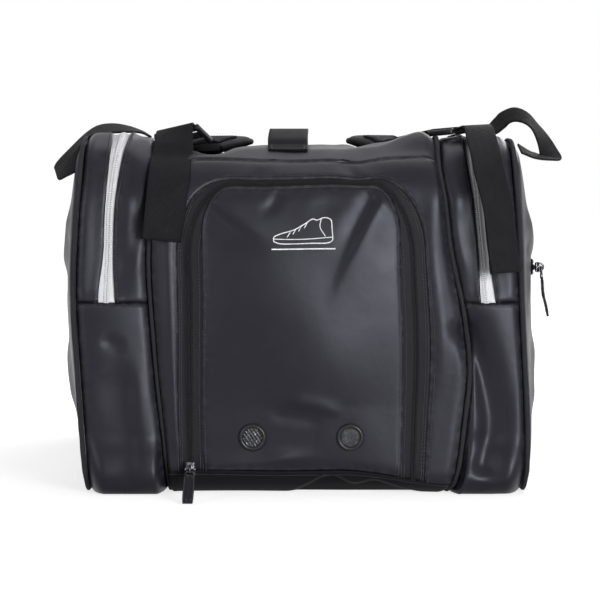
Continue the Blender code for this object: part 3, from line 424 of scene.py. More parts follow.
def main_skin(x, s, lift=0.0):
    """Points of the middle compartment's skin at places x across it and s along its outline."""
    x, s = np.broadcast_arrays(np.asarray(x, float), np.asarray(s, float))
    y, z, ny, nz = MAIN.at(s)
    front = hump((s - MAIN.front(0.0)) / 0.31)
    rear = hump((s - MAIN.rear(0.31)) / 0.31)
    roof = hump((s - MAIN.front(0.29)) / (MAIN.rear(0.29) - MAIN.front(0.29)))
    crown = FRONT_CROWN * (front + rear) + TOP_CROWN * np.minimum(1.0, 2.0 * roof)
    out = crown * (1.0 - (x / MAIN_HALF_WIDTH) ** 2) + lift
    return np.stack([x, y + ny * out, z + nz * out], -1)


def front_skin(x, h, lift=0.0):
    """Places on the front end at height h along its outline."""
    return main_skin(x, MAIN.front(np.asarray(h, float)), lift)


def top_skin(x, h, lift=0.0):
    """Places on the top, where h grows towards the front."""
    return main_skin(x, MAIN.roof(-np.asarray(h, float)), lift)


def shoulder(reach, z):
    """How far a pocket's outer shoulder slopes down below its outline."""
    t = np.clip((reach - POCKET_COIL) / (OUTER_PIPING_X - POCKET_COIL), 0.0, 1.0)
    w = np.maximum(0.0, (z - FOLD_HEIGHT) / (POCKET_TOP - FOLD_HEIGHT))
    return SHOULDER_DROP * t ** 1.4 * w ** 2


def pocket_skin(side, s, reach, lift=0.0):
    """Points of a racket pocket's gusset; side is -1 for left and 1 for right."""
    s, reach = np.broadcast_arrays(np.asarray(s, float), np.asarray(reach, float))
    y, z, ny, nz = POCKET.at(s)
    middle = (POCKET_INNER + POCKET_OUTER) / 2
    t = (reach - middle) / ((POCKET_OUTER - POCKET_INNER) / 2)
    crown = GUSSET_CROWN * np.maximum(0.0, 1 - t * t) * np.maximum(0.0, 1 + 1.5 * np.minimum(0.0, nz))
    out = crown + lift
    return np.stack([side * reach, y + ny * out, z + nz * out - shoulder(reach, z)], -1)


def side_bulge(y, z):
    """How far out a pocket's outer panel stands."""
    a = np.maximum(0.0, 1 - (y / POCKET_HALF_LENGTH) ** 4)
    b = np.maximum(0.0, 1 - (2 * z / POCKET_TOP - 1) ** 4)
    return SIDE_FACE + SIDE_BULGE * a * b


def zip_swell(y, z):
    """How far the right panel swells under its zip, out to where the slider runs."""
    run = JOINTS["side_slider_run"]["axis"]
    top = JOINTS["side_pull_swing"]["pos_m"]
    path = top[0] - BAIL_TOP + (y - top[1]) * run[0] / run[1]
    near = np.exp(-((z - SIDE_ZIP_Z) / np.where(z < SIDE_ZIP_Z, 0.022, 0.045)) ** 2)
    start, end = SIDE_ZIP_Y
    near *= smoothstep(start - 0.035, start, y) * smoothstep(end + 0.070, end, y)
    return (path - SIDE_ZIP_DEPTH - side_bulge(y, SIDE_ZIP_Z)) * near


def side_skin(side, y, z, lift=0.0):
    """Points of a racket pocket's outer panel."""
    y, z = np.broadcast_arrays(np.asarray(y, float), np.asarray(z, float))
    swell = zip_swell(y, z) if side > 0 else 0.0
    return np.stack([side * (side_bulge(y, z) + swell + lift), y, z - shoulder(SIDE_FACE, z)], -1)


# Places where rigid pieces sit or slide, so the cloth lies still there, as (start, end, radius).
STILL = [
    ((VENT_X[0], -0.278, VENT_HEIGHT), (VENT_X[0], -0.278, VENT_HEIGHT), 0.017),
    ((VENT_X[1], -0.278, VENT_HEIGHT), (VENT_X[1], -0.278, VENT_HEIGHT), 0.017),
    ((-0.098, -0.274, 0.020), (-0.098, -0.274, 0.190), 0.0055),
    ((-0.077, 0.196, 0.307), (-0.077, -0.040, 0.307), 0.010),
    ((-0.172, 0.268, 0.175), (-0.172, 0.268, 0.255), 0.010),
    ((0.172, 0.268, 0.175), (0.172, 0.268, 0.255), 0.010),
    ((0.2150, -0.215, SIDE_ZIP_Z), (0.2150, 0.135, SIDE_ZIP_Z), 0.014),
]


def stillness(p):
    """1 on free cloth, falling to 0 where a rigid piece sits."""
    free = np.ones(p.shape[:-1])
    for start, end, radius in STILL:
        a, d = np.array(start), np.array(end) - np.array(start)
        t = np.clip(((p - a) @ d) / max(d @ d, 1e-9), 0.0, 1.0)[..., None]
        gap = np.linalg.norm(p - a - t * d, axis=-1)
        free *= 1.0 - np.exp(-(gap / radius) ** 2)
    return free


def ripple(p):
    """Small uneven slack all over the cloth, the same for every piece at one place."""
    draw = np.random.RandomState(11)
    moved = np.zeros(p.shape)
    for _ in range(RIPPLES):
        heading = unit(draw.normal(size=3))
        push = unit(draw.normal(size=3))
        wave = 2 * math.pi / draw.uniform(0.045, 0.150)
        moved += push * (RIPPLE_HEIGHT * np.sin(p @ heading * wave + draw.uniform(0, 6.28)))[..., None]
    return moved


def fold_height(a, b, folds):
    """Height of a set of folds at places (a, b) on their face, in metres."""
    total = np.zeros(np.shape(a))
    for line, height, left, right, (fade_in, fade_out) in folds:
        gap, share = nearest(a / MM, b / MM, catmull(line, 6))
        width = np.where(gap > 0, left, right)
        ends = smoothstep(0.0, max(fade_in, 1e-3), share) * smoothstep(1.0, 1.0 - max(fade_out, 1e-3), share)
        total += height * MM * ends * np.exp(-(gap / width) ** 2)
    return total


def slump(x, z):
    """Sideways shift of the front at places x and heights z, in metres."""
    at = np.array([column for column, _ in SLUMP])
    shifts = np.stack([spline(z / MM, stops) for _, stops in SLUMP])
    k = np.clip(np.searchsorted(at, x) - 1, 0, len(at) - 2)
    w = np.clip((x - at[k]) / (at[k + 1] - at[k]), 0.0, 1.0)
    low = np.take_along_axis(shifts, k[None], 0)[0]
    high = np.take_along_axis(shifts, k[None] + 1, 0)[0]
    return (low + (high - low) * w) * MM


def fold_push(p, shift, free):
    """How far the folds of the front, rear, sides and top each push their own face."""
    x, y, z = p.T
    front = fold_height(x + shift, z, FRONT_FOLDS) * smoothstep(*FRONT_FACE, y)
    rear = fold_height(x, z, REAR_FOLDS) * smoothstep(*REAR_FACE, y)
    flank = np.sign(x) * fold_height(y, z, SIDE_FOLDS) * smoothstep(*FLANK_FACE, np.abs(x))
    roof = smoothstep(*ROOF_FACE, z) * smoothstep(*ROOF_EDGE, np.abs(x))
    return np.stack([flank, rear - front, fold_height(x, y, TOP_FOLDS) * roof], -1) * free[:, None]


def top_rise(x, y, z):
    """How far the top's front edge rises: straps hold it up, and it sags left and is pulled up right."""
    fore = smoothstep(-0.170, -0.212, y)
    middle = smoothstep(0.062, 0.036, np.abs(x))
    held = smoothstep(*FRONT_LEAN, y) * smoothstep(0.1365, 0.1335, x) * smoothstep(-0.112, -0.094, x)
    held = held * np.maximum(fore, middle)
    crest = smoothstep(-0.250, -0.228, y)
    right = np.exp(-((x - 0.112) / np.where(x < 0.112, 0.026, 0.014)) ** 2)
    dip = np.exp(-((x - 0.050) / 0.016) ** 2)
    edge = crest * spline(x / MM, CREST_RISE) * MM + (1 - crest) * (0.0030 * right - 0.0036 * dip)
    rise = held * (EDGE_LIFT * smoothstep(0.160, 0.280, z) + edge * smoothstep(0.262, 0.298, z))
    tip = np.exp(-((x + POCKET_COIL) / 0.017) ** 2) * smoothstep(-0.190, -0.215, y)
    rise += TIP_RISE * tip * smoothstep(0.270, 0.310, z)
    brow = smoothstep(0.176, 0.196, np.abs(x)) * smoothstep(-0.150, -0.195, y) * smoothstep(0.262, 0.306, z)
    return rise + np.where(x < 0, BROW_RISE["left"], BROW_RISE["right"]) * brow


def foot_shift(x, y, z, free):
    """Shifts along Y and Z of the low front: a dropping seam, a drawn-in base and full pocket feet."""
    foot = np.minimum(1.0, np.maximum(z, 0.0) / SEAM_LOW) * (1 - smoothstep(0.035, 0.080, z))
    across = smoothstep(0.030, 0.132, x) * (1 - smoothstep(0.136, 0.150, x))
    drop = FOOT_DROP * smoothstep(*FRONT_LEAN, y) * foot * across * free
    strip = spline(np.clip(x / MM, STRIP_EDGE[0][0], STRIP_EDGE[-1][0]), STRIP_EDGE) * MM
    under = smoothstep(0.0005, 0.0050, strip - z) * smoothstep(0.1320, 0.1200, np.abs(x))
    full = smoothstep(0.055, 0.008, z) * smoothstep(-0.190, -0.235, y)
    full *= smoothstep(0.137, 0.146, np.abs(x)) * smoothstep(0.206, 0.186, np.abs(x))
    along = STRIP_DEPTH * under * smoothstep(*FRONT_FACE, y) - FULL_FORWARD * full
    return along, -drop - FULL_DOWN * full


def settle(points):
    """Moves points of the soft skin to where slack, weight and folds put them."""
    p = np.array(points, float)
    shape = p.shape
    p = p.reshape(-1, 3)
    x, y, z = p.T
    free = stillness(p)
    shift = slump(x, z) * smoothstep(*FRONT_LEAN, y)
    moved = p + ripple(p) * free[:, None] + fold_push(p, shift, free)
    # The shoe door is plump in its upper part.
    plump = np.maximum(0.0, 1 - (x / DOOR_RIM[0]) ** 2) * hump((z - 0.080) / 0.190)
    along, down = foot_shift(x, y, z, free)
    moved[:, 0] += shift
    moved[:, 1] += along - DOOR_PLUMP * plump * smoothstep(*FRONT_FACE, y)
    moved[:, 2] += top_rise(x, y, z) + down
    moved[:, 2] = np.maximum(moved[:, 2], FLOOR_GAP)
    return moved.reshape(shape)


# Meshes.


def new_object(name, mesh, *mats):
    """A smooth object of a mesh, in the scene, with its materials."""
    mesh.shade_smooth()
    obj = bpy.data.objects.new(name, mesh)
    bpy.context.scene.collection.objects.link(obj)
    return dress(obj, *mats)


def face_out(mesh, join=0.0):
    """Turns the faces of closed shapes outwards, after joining points no further apart than join."""
    bm = bmesh.new()
    bm.from_mesh(mesh)
    if join:
        bmesh.ops.remove_doubles(bm, verts=bm.verts[:], dist=join)
    bmesh.ops.recalc_face_normals(bm, faces=bm.faces[:])
    bm.to_mesh(mesh)
    bm.free()


def weld(obj):
    """Joins points that lie on each other and turns the faces outwards."""
    face_out(obj.data, 1e-6)


def grid_object(name, points, uv, wrap=False, caps=False, edge=None, centre=BAG_CENTRE):
    """A mesh from a grid of points, facing away from centre, with places on the cloth in metres as UVs."""
    points = np.asarray(points, float)
    rows, cols = points.shape[:2]
    i = np.arange(rows - 1)[:, None]
    j = np.arange(cols if wrap else cols - 1)[None, :]
    after = (j + 1) % cols
    quads = np.stack(np.broadcast_arrays(i * cols + j, i * cols + after, (i + 1) * cols + after,
                                         (i + 1) * cols + j), -1).reshape(-1, 4)
    corners = np.stack(np.broadcast_arrays(uv[i, j], uv[i, j + 1], uv[i + 1, j + 1], uv[i + 1, j]), 2)
    corners = corners.reshape(-1, 4, 2)
    flat = points.reshape(-1, 3)
    a, b, c, d = (flat[quads[:, k]] for k in range(4))
    out = np.cross(c - a, d - b)
    turned = (out * ((a + c) / 2 - np.array(centre))).sum() < 0
    if turned:
        quads, corners = quads[:, ::-1], corners[:, ::-1]
    faces = quads.tolist()
    spots = corners.reshape(-1, 2)
    if caps:
        first = list(range(cols))
        last = list(range((rows - 1) * cols, rows * cols))
        ends = [first if turned else first[::-1], last[::-1] if turned else last]
        faces += ends
        spots = np.concatenate([spots] + [np.zeros((cols, 2))] * 2)
    mesh = bpy.data.meshes.new(name)
    mesh.from_pydata(flat.tolist(), [], faces)
    mesh.uv_layers.new(name="cloth").data.foreach_set("uv", spots.astype(np.float32).ravel())
    if edge is not None:
        wear = mesh.attributes.new("edge", "FLOAT", "POINT")
        wear.data.foreach_set("value", np.asarray(edge, np.float32).ravel())
    return new_object(name, mesh)


def beads(name, points, mat):
    """Many short capped tubes in one mesh, from points by tube, ring and place round the ring."""
    count, length, sides = points.shape[:3]
    start = np.arange(count)[:, None, None] * (length * sides)
    i = np.arange(length - 1)[None, :, None] * sides
    j = np.arange(sides)[None, None, :]
    after = (j + 1) % sides
    quads = np.stack(np.broadcast_arrays(start + i + j, start + i + after, start + i + sides + after,
                                         start + i + sides + j), -1)
    faces = quads.reshape(-1, 4).tolist()
    ring = np.arange(sides)
    for first in start.ravel():
        faces.append((first + ring[::-1]).tolist())
        faces.append((first + (length - 1) * sides + ring).tolist())
    mesh = bpy.data.meshes.new(name)
    mesh.from_pydata(points.reshape(-1, 3).tolist(), [], faces)
    face_out(mesh)
    return new_object(name, mesh, mat)


def dress(obj, *mats):
    """Gives an object its materials."""
    for mat in mats:
        obj.data.materials.append(mat)
    return obj


def thicken(obj, thickness):
    """Gives a sheet its thickness inwards, with its second material on the inside."""
    mod = obj.modifiers.new("Cloth thickness", "SOLIDIFY")
    mod.thickness = thickness
    mod.offset = -1.0
    mod.use_quality_normals = True
    mod.material_offset = 1 if len(obj.data.materials) > 1 else 0


def attach(obj, where, nodes=()):
    """Rides a piece on a body, or bakes its place into its mesh if it is one of the pieces in BENDS, and
    hides the nodes it stands for.
    """
    if where in BENDS:
        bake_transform(obj)
    else:
        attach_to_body(obj, where)
    if nodes:
        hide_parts(*nodes)


def cloth_piece(name, points, uv, gap, where, nodes, mat="cloth", centre=BAG_CENTRE):
    """A lined panel of cloth, rubbed pale along the edges that gap measures from."""
    obj = grid_object(name, settle(points), uv, edge=np.exp(-np.abs(gap) / WEAR_REACH), centre=centre)
    thicken(dress(obj, MATS[mat], MATS["lining"]), CLOTH)
    attach(obj, where, nodes)


def plane_uv(a, b):
    """Places on the cloth in metres, for its weave."""
    return np.stack(np.broadcast_arrays(a, b), -1)


def rolled(gap, depth, reach):
    """How far cloth rolls down at a distance from its sewn edge."""
    return depth * np.maximum(0.0, 1.0 - np.abs(gap) / reach) ** 2


def eased(count, share=0.6):
    """Steps from 0 to 1 that are closer together at both ends."""
    t = np.linspace(0.0, 1.0, count)
    return t * (1 - share) + share * (1 - np.cos(np.pi * t)) / 2


def arch(shape, d, legs=64, bends=28, tops=34):
    """An arch moved outwards by d, in (x, h), from its left foot over the top to its right foot."""
    half, foot, crest, (rx, rh) = shape
    half, crest, rx, rh = half + d, crest + d, rx + d, rh + d
    left = [np.stack([np.full(legs, -half), np.linspace(foot, crest - rh, legs)], -1)]
    angle = np.linspace(math.pi, math.pi / 2, bends)[1:]
    left.append(np.stack([rx - half + rx * np.cos(angle), crest - rh + rh * np.sin(angle)], -1))
    left = np.concatenate(left)
    x = np.linspace(rx - half, half - rx, tops)[1:-1]
    top = np.stack([x, np.full(len(x), crest)], -1)
    return np.concatenate([left, top, left[::-1] * (-1, 1)])


def box_arch(half, low, high, legs=64, bends=28, tops=34):
    """Three sides of a rectangle whose points pair with those of an arch."""
    turn = (bends - 1) // 2
    h = np.linspace(low, high, legs + turn)
    x = np.linspace(-half, half, tops + 2 * (bends - 1 - turn))[1:-1]
    left = np.stack([np.full(len(h), -half), h], -1)
    top = np.stack([x, np.full(len(x), high)], -1)
    return np.concatenate([left, top, left[::-1] * (-1, 1)])


def closed(line, feet=40):
    """A line with its two ends joined by a straight run."""
    run = np.linspace(line[-1], line[0], feet)[1:-1]
    return np.concatenate([line, run])


def arch_rows(shape, d, legs, bends):
    """Heights and half widths of level rows that fill an arch moved by d."""
    half, foot, crest, (rx, rh) = shape
    half, crest, rx, rh = half + d, crest + d, rx + d, rh + d
    angle = np.linspace(0.0, math.pi / 2, bends)[1:]
    h = np.concatenate([np.linspace(foot, crest - rh, legs), crest - rh + rh * np.sin(angle)])
    w = np.concatenate([np.full(legs, half), half - rx + rx * np.cos(angle)])
    return h, w


# Materials.


class Shader:
    """A material around one Principled shader, with short ways to add nodes."""

    def __init__(self, name, roughness, metallic=0.0, specular=0.5, sheen=0.0):
        self.mat = bpy.data.materials.new(name)
        self.mat.use_nodes = True
        self.tree = self.mat.node_tree
        self.skin = self.tree.nodes["Principled BSDF"]
        self.set("Roughness", roughness)
        self.set("Metallic", metallic)
        self.set("Specular IOR Level", specular)
        self.set("Sheen Weight", sheen)
        self.set("Sheen Roughness", 0.45)
        coords = self.tree.nodes.new("ShaderNodeTexCoord")
        self.uv = coords.outputs["UV"]
        self.place = coords.outputs["Object"]

    def set(self, socket, value):
        """Sets or links one input of the Principled shader."""
        if isinstance(value, bpy.types.NodeSocket):
            self.tree.links.new(value, self.skin.inputs[socket])
        else:
            self.skin.inputs[socket].default_value = value

    def add(self, kind, inputs, output, **settings):
        """Adds a node with its settings and inputs, and gives back one output."""
        node = self.tree.nodes.new(kind)
        for key, value in settings.items():
            setattr(node, key, value)
        for socket, value in inputs.items():
            if isinstance(value, bpy.types.NodeSocket):
                self.tree.links.new(value, node.inputs[socket])
            else:
                node.inputs[socket].default_value = value
        return node.outputs[output]

    def math(self, operation, a, b=0.0):
        return self.add("ShaderNodeMath", {0: a, 1: b}, 0, operation=operation)

    def noise(self, vector, scale, detail=3.0, stretch=None):
        if stretch:
            vector = self.add("ShaderNodeVectorMath", {0: vector, 1: stretch}, 0, operation="MULTIPLY")
        inputs = {"Vector": vector, "Scale": scale, "Detail": detail, "Roughness": 0.55}
        return self.add("ShaderNodeTexNoise", inputs, "Fac")

    def remap(self, value, low, high, to_low, to_high):
        inputs = {"Value": value, "From Min": low, "From Max": high, "To Min": to_low, "To Max": to_high}
        return self.add("ShaderNodeMapRange", inputs, "Result")

    def blend(self, factor, a, b):
        # The mix node's colour sockets are its inputs 6 and 7 and its output 2.
        return self.add("ShaderNodeMix", {0: factor, 6: a, 7: b}, 2, data_type="RGBA")

    def tint(self, factor, a, b):
        """Colours the surface between a and b."""
        self.set("Base Color", self.blend(factor, a, b))

    def emboss(self, height, strength, distance):
        """Gives the surface its fine relief."""
        inputs = {"Height": height, "Strength": strength, "Distance": distance}
        self.set("Normal", self.add("ShaderNodeBump", inputs, "Normal"))

    def attribute(self, name):
        return self.add("ShaderNodeAttribute", {}, "Fac", attribute_name=name)

    def threads(self, pitch, pitch_along=None):
        """Sines across and along the cloth, one wave a thread pair."""
        split = self.tree.nodes.new("ShaderNodeSeparateXYZ")
        self.tree.links.new(self.uv, split.inputs[0])
        wave = 2 * math.pi
        across = self.math("SINE", self.math("MULTIPLY", split.outputs[0], wave / pitch))
        along = self.math("SINE", self.math("MULTIPLY", split.outputs[1], wave / (pitch_along or pitch)))
        return across, along, split


def colour(r, g, b):
    """An opaque colour."""
    return (r, g, b, 1.0)


def coated_cloth():
    """Satin coated cloth: fine grain, uneven tone, paler rubbed edges."""
    sh = Shader("coated_cloth", 0.40, specular=0.18)
    sh.set("Specular Tint", colour(0.86, 0.87, 1.0))
    tone = sh.remap(sh.noise(sh.uv, 14.0, 4.0), 0.30, 0.70, 0.0, 1.0)
    body = sh.blend(tone, colour(0.0062, 0.0058, 0.0084), colour(0.0094, 0.0088, 0.0124))
    patches = sh.remap(sh.noise(sh.uv, 160.0, 3.0), 0.45, 0.75, 0.0, 0.55)
    rub = sh.math("MULTIPLY", sh.attribute("edge"), patches)
    sh.tint(rub, body, colour(0.070, 0.070, 0.080))
    sh.set("Roughness", sh.remap(sh.noise(sh.uv, 55.0, 4.0), 0.25, 0.75, 0.35, 0.44))
    across, along, _ = sh.threads(0.0012)
    weave = sh.math("MULTIPLY", across, along)
    grain = sh.math("MULTIPLY", sh.noise(sh.uv, 900.0, 2.0), 1.6)
    soft = sh.math("MULTIPLY", sh.noise(sh.uv, 70.0, 3.0), 6.0)
    height = sh.math("ADD", sh.math("ADD", sh.math("MULTIPLY", weave, 0.35), grain), soft)
    sh.emboss(height, 0.30, 0.00012)
    return sh.mat


def base_cloth():
    """Coarser, duller cloth under the bag, scuffed where it stands, and coloured darker than the body cloth
    as painted shade for its shaded underside.
    """
    sh = Shader("base_cloth", 0.66, specular=0.06)
    tone = sh.noise(sh.uv, 22.0, 4.0)
    # Painted shade: these base colours are darker than the body cloth so that the underside looks as if it
    # lies in shadow; the scuffs below are wear.
    body = sh.blend(tone, colour(0.0036, 0.0034, 0.0043), colour(0.0066, 0.0063, 0.0077))
    scuff = sh.remap(sh.noise(sh.uv, 120.0, 5.0, (1.0, 0.35, 1.0)), 0.60, 0.80, 0.0, 0.45)
    sh.tint(scuff, body, colour(0.0110, 0.0106, 0.0124))
    across, along, _ = sh.threads(0.0016)
    height = sh.math("ADD", sh.math("MULTIPLY", across, along), sh.noise(sh.uv, 300.0, 3.0))
    sh.emboss(height, 0.45, 0.00018)
    return sh.mat


def lining_cloth():
    """Thin matt lining with a plain weave."""
    sh = Shader("lining_cloth", 0.78, specular=0.25, sheen=0.15)
    tone = sh.noise(sh.uv, 30.0, 4.0)
    sh.tint(tone, colour(0.022, 0.022, 0.026), colour(0.036, 0.036, 0.041))
    across, along, _ = sh.threads(0.0009)
    sh.emboss(sh.math("MULTIPLY", across, along), 0.40, 0.00012)
    return sh.mat


def woven_webbing(name, dark, pale, pitch):
    """Matt webbing: rows of raised threads, painted paler as highlights that show as a grid of dots."""
    sh = Shader(name, 0.78, specular=0.10)
    across, along, split = sh.threads(pitch, pitch * 1.1)
    weave = sh.math("MULTIPLY", across, along)
    ribs = sh.math("SINE", sh.math("MULTIPLY", split.outputs[0], 2 * math.pi / (pitch * 4)))
    raised = sh.remap(weave, -0.2, 1.0, 0.0, 1.0)
    tone = sh.remap(sh.noise(sh.uv, 60.0, 4.0), 0.3, 0.7, 0.35, 1.0)
    # Painted highlight: the raised threads are coloured paler, as if they caught the light.
    sh.tint(sh.math("MULTIPLY", raised, tone), dark, pale)
    fuzz = sh.math("MULTIPLY", sh.noise(sh.uv, 1500.0, 2.0), 0.6)
    height = sh.math("ADD", sh.math("ADD", weave, sh.math("MULTIPLY", ribs, 0.35)), fuzz)
    sh.emboss(height, 0.75, 0.00030)
    sh.set("Roughness", sh.remap(weave, -1.0, 1.0, 0.82, 0.60))
    return sh.mat


def zip_tape(name, dark, pale, roughness):
    """Zip tape: a slanting twill, with a fine rib beside the teeth."""
    sh = Shader(name, roughness, specular=0.12)
    _, _, split = sh.threads(0.001)
    lean = sh.math("ADD", split.outputs[0], sh.math("MULTIPLY", split.outputs[1], 0.8))
    twill = sh.math("SINE", sh.math("MULTIPLY", lean, 2 * math.pi / 0.0011))
    tone = sh.noise(sh.uv, 45.0, 4.0)
    shade = sh.math("ADD", sh.math("MULTIPLY", tone, 0.75), sh.math("MULTIPLY", twill, 0.10))
    sh.tint(shade, dark, pale)
    sh.emboss(twill, 0.40, 0.00016)
    return sh.mat


def air_mesh():
    """Padding cover: a spacer cloth with rows of small round holes."""
    sh = Shader("strap_padding", 0.82, specular=0.12, sheen=0.10)
    across, along, _ = sh.threads(0.0034, 0.0029)
    pits = sh.remap(sh.math("MULTIPLY", across, along), 0.15, 0.75, 0.0, 1.0)
    tone = sh.noise(sh.uv, 40.0, 3.0)
    body = sh.blend(tone, colour(0.009, 0.009, 0.011), colour(0.015, 0.015, 0.018))
    # Painted shade: the holes are coloured darker than the cloth round them, as shade inside them.
    sh.tint(pits, body, colour(0.004, 0.004, 0.005))
    fuzz = sh.math("MULTIPLY", sh.noise(sh.uv, 1200.0, 2.0), 0.4)
    sh.emboss(sh.math("SUBTRACT", fuzz, pits), 0.7, 0.00045)
    return sh.mat


def moulded_plastic():
    """Glossy black plastic with faint flow marks and fine scratches."""
    sh = Shader("moulded_plastic", 0.28, specular=0.25)
    tone = sh.noise(sh.place, 90.0, 4.0)
    sh.tint(tone, colour(0.006, 0.006, 0.007), colour(0.012, 0.012, 0.014))
    scratch = sh.noise(sh.place, 900.0, 4.0, (1.0, 0.12, 1.0))
    sh.set("Roughness", sh.remap(scratch, 0.35, 0.75, 0.20, 0.40))
    sh.emboss(sh.noise(sh.place, 420.0, 3.0), 0.15, 0.00010)
    return sh.mat


def dark_metal():
    """Black plated metal, brighter where the plating has rubbed."""
    sh = Shader("dark_metal", 0.30, metallic=1.0)
    worn = sh.remap(sh.noise(sh.place, 380.0, 5.0), 0.50, 0.72, 0.0, 1.0)
    sh.tint(worn, colour(0.045, 0.046, 0.050), colour(0.210, 0.210, 0.220))
    sh.set("Roughness", sh.remap(sh.noise(sh.place, 700.0, 3.0), 0.3, 0.7, 0.22, 0.42))
    sh.emboss(sh.noise(sh.place, 1100.0, 2.0), 0.12, 0.00008)
    return sh.mat


def thread(name, shade):
    """Sewing thread with a slanting twist."""
    sh = Shader(name, 0.60, specular=0.35, sheen=0.15)
    across, along, _ = sh.threads(0.0007, 0.0007)
    tone = sh.remap(sh.math("MULTIPLY", across, along), -1.0, 1.0, 0.0, 1.0)
    sh.tint(tone, colour(*(c * 0.7 for c in shade)), colour(*shade))
    sh.emboss(tone, 0.4, 0.0001)
    return sh.mat


def print_ink():
    """Pale screen print, a little thin in places."""
    sh = Shader("print_ink", 0.55, specular=0.35)
    thin = sh.remap(sh.noise(sh.place, 700.0, 4.0), 0.35, 0.60, 0.0, 1.0)
    sh.tint(thin, colour(0.42, 0.42, 0.44), colour(0.68, 0.68, 0.70))
    sh.emboss(sh.noise(sh.place, 1500.0, 2.0), 0.2, 0.00006)
    return sh.mat


def stiffener_board():
    """Pressed fibre board inside the base."""
    sh = Shader("stiffener", 0.65, specular=0.3)
    fleck = sh.noise(sh.place, 500.0, 5.0)
    sh.tint(fleck, colour(0.018, 0.018, 0.019), colour(0.045, 0.044, 0.046))
    sh.emboss(fleck, 0.35, 0.0002)
    return sh.mat


MATS = {
    "cloth": coated_cloth(),
    "base": base_cloth(),
    "lining": lining_cloth(),
    "web": woven_webbing("woven_webbing", colour(0.0022, 0.0020, 0.0027), colour(0.0165, 0.0158, 0.0186),
                         0.0026),
    "tab": woven_webbing("pull_tab", colour(0.013, 0.013, 0.015), colour(0.032, 0.032, 0.036), 0.0011),
    "piping": woven_webbing("piping_cord", colour(0.018, 0.018, 0.022), colour(0.034, 0.034, 0.040), 0.0010),
    "white": zip_tape("white_zip_tape", colour(0.44, 0.44, 0.46), colour(0.64, 0.64, 0.66), 0.62),
    "tape": zip_tape("black_zip_tape", colour(0.0055, 0.0055, 0.0068), colour(0.0120, 0.0120, 0.0140), 0.62),
    "pad": air_mesh(),
    "plastic": moulded_plastic(),
    "metal": dark_metal(),
    "thread": thread("dark_thread", (0.020, 0.020, 0.025)),
    "ink": print_ink(),
    "board": stiffener_board(),
}


# Stitches, gathered by where they ride and built at the end.

STITCHES = {}


def stitch_row(where, points, normals, pitch=STITCH_PITCH):
    """Adds a row of stitches along a line on the cloth."""
    both = spread_along(np.concatenate([points, normals], -1), pitch / 2)
    STITCHES.setdefault(where, []).append(both[:len(both) // 2 * 2])


def sewn(where, skin):
    """A row of stitches along skin(lift), which gives the line's points at a height over the cloth."""
    low, high = settle(skin(0.0003)), settle(skin(0.0013))
    stitch_row(where, low, unit(high - low))


def sewn_along(where, skin, line):
    """A row of stitches along a line in (x, h)."""
    sewn(where, lambda lift: skin(line[:, 0], line[:, 1], lift))


def build_stitches():
    """One mesh of short bent threads for each place that the rows ride on.

    A thread's bend is given as stations of share along it, lift and share of its girth.
    """
    bend = ((0.0, -0.00035, 0.45), (0.2, 0.00005, 1.0), (0.5, 0.00022, 1.0), (0.8, 0.00005, 1.0),
            (1.0, -0.00035, 0.45))
    turn = turns(6)
    for where, rows in STITCHES.items():
        a = np.concatenate([row[0::2, :3] for row in rows])
        b = np.concatenate([row[1::2, :3] for row in rows])
        n = unit(np.concatenate([row[0::2, 3:] for row in rows]))
        along = unit(b - a)
        across = unit(np.cross(along, n))
        rings = []
        for share, lift, girth in bend:
            middle = a + (b - a) * (0.02 + 1.2 * share) + n * lift
            ring = across[:, None] * np.cos(turn)[:, None] + n[:, None] * np.sin(turn)[:, None]
            rings.append(middle[:, None] + THREAD_RADIUS * girth * ring)
        attach(beads(f"stitches_{where}", np.stack(rings, 1), MATS["thread"]), where)


# Zips.


def zip_teeth(name, line, inward, normal, mat):
    """Half a zip's coil: short round teeth along a line, reaching over it from their own tape."""
    both = spread_along(np.concatenate([line, inward, normal], -1), TOOTH_PITCH)
    at, side, up = both[:, :3], unit(both[:, 3:6]), unit(both[:, 6:])
    along = unit(np.cross(side, up))
    corners = ((-1.0, 0.0), (-0.7, 0.75), (0.7, 0.75), (1.0, 0.0), (0.6, -0.4), (-0.6, -0.4))
    stations = ((-0.0021, 0.55, -0.0002), (-0.0016, 1.0, 0.0), (0.0004, 1.0, 0.0002), (0.0009, 0.5, -0.0001))
    rings = []
    for reach, girth, lift in stations:
        middle = at + side * -reach + up * (0.0006 + lift)
        ring = [middle + along * (a * 0.00062 * girth) + up * (b * 0.0010 * girth) for a, b in corners]
        rings.append(np.stack(ring, 1))
    return beads(name, np.stack(rings, 1), mat)


def zip_half(name, skin, run, start, end, where, nodes, mat, seam=True):
    """One tape of a zip with its teeth. skin(run, d, lift) places distance d from the zip's line."""
    across = np.linspace(start, end, 7)
    lift = -TAPE_SINK + 0.0005 * np.exp(-(np.abs(across) / 0.0022) ** 2)
    points = settle(skin(run[:, None], across[None, :], lift[None, :]))
    line = points[:, 0]
    uv = plane_uv(across[None, :], run_lengths(line)[:, None])
    tape = dress(grid_object(name, points, uv), mat)
    thicken(tape, TAPE)
    attach(tape, where, nodes)
    ones = np.ones(len(run))
    inner = settle(skin(run, start * ones, -TAPE_SINK * ones))
    outer = settle(skin(run, (start + np.sign(end) * 0.003) * ones, -TAPE_SINK * ones))
    high = settle(skin(run, start * ones, 0.0 * ones))
    teeth = zip_teeth(f"{name}_teeth", inner, outer - inner, high - inner, mat)
    attach(teeth, where)
    if seam:
        for share in (0.80, 0.62):
            d = (start + (end - start) * share) * ones
            sewn(where, lambda lift, d=d: skin(run, d, (lift - TAPE_SINK) * ones))


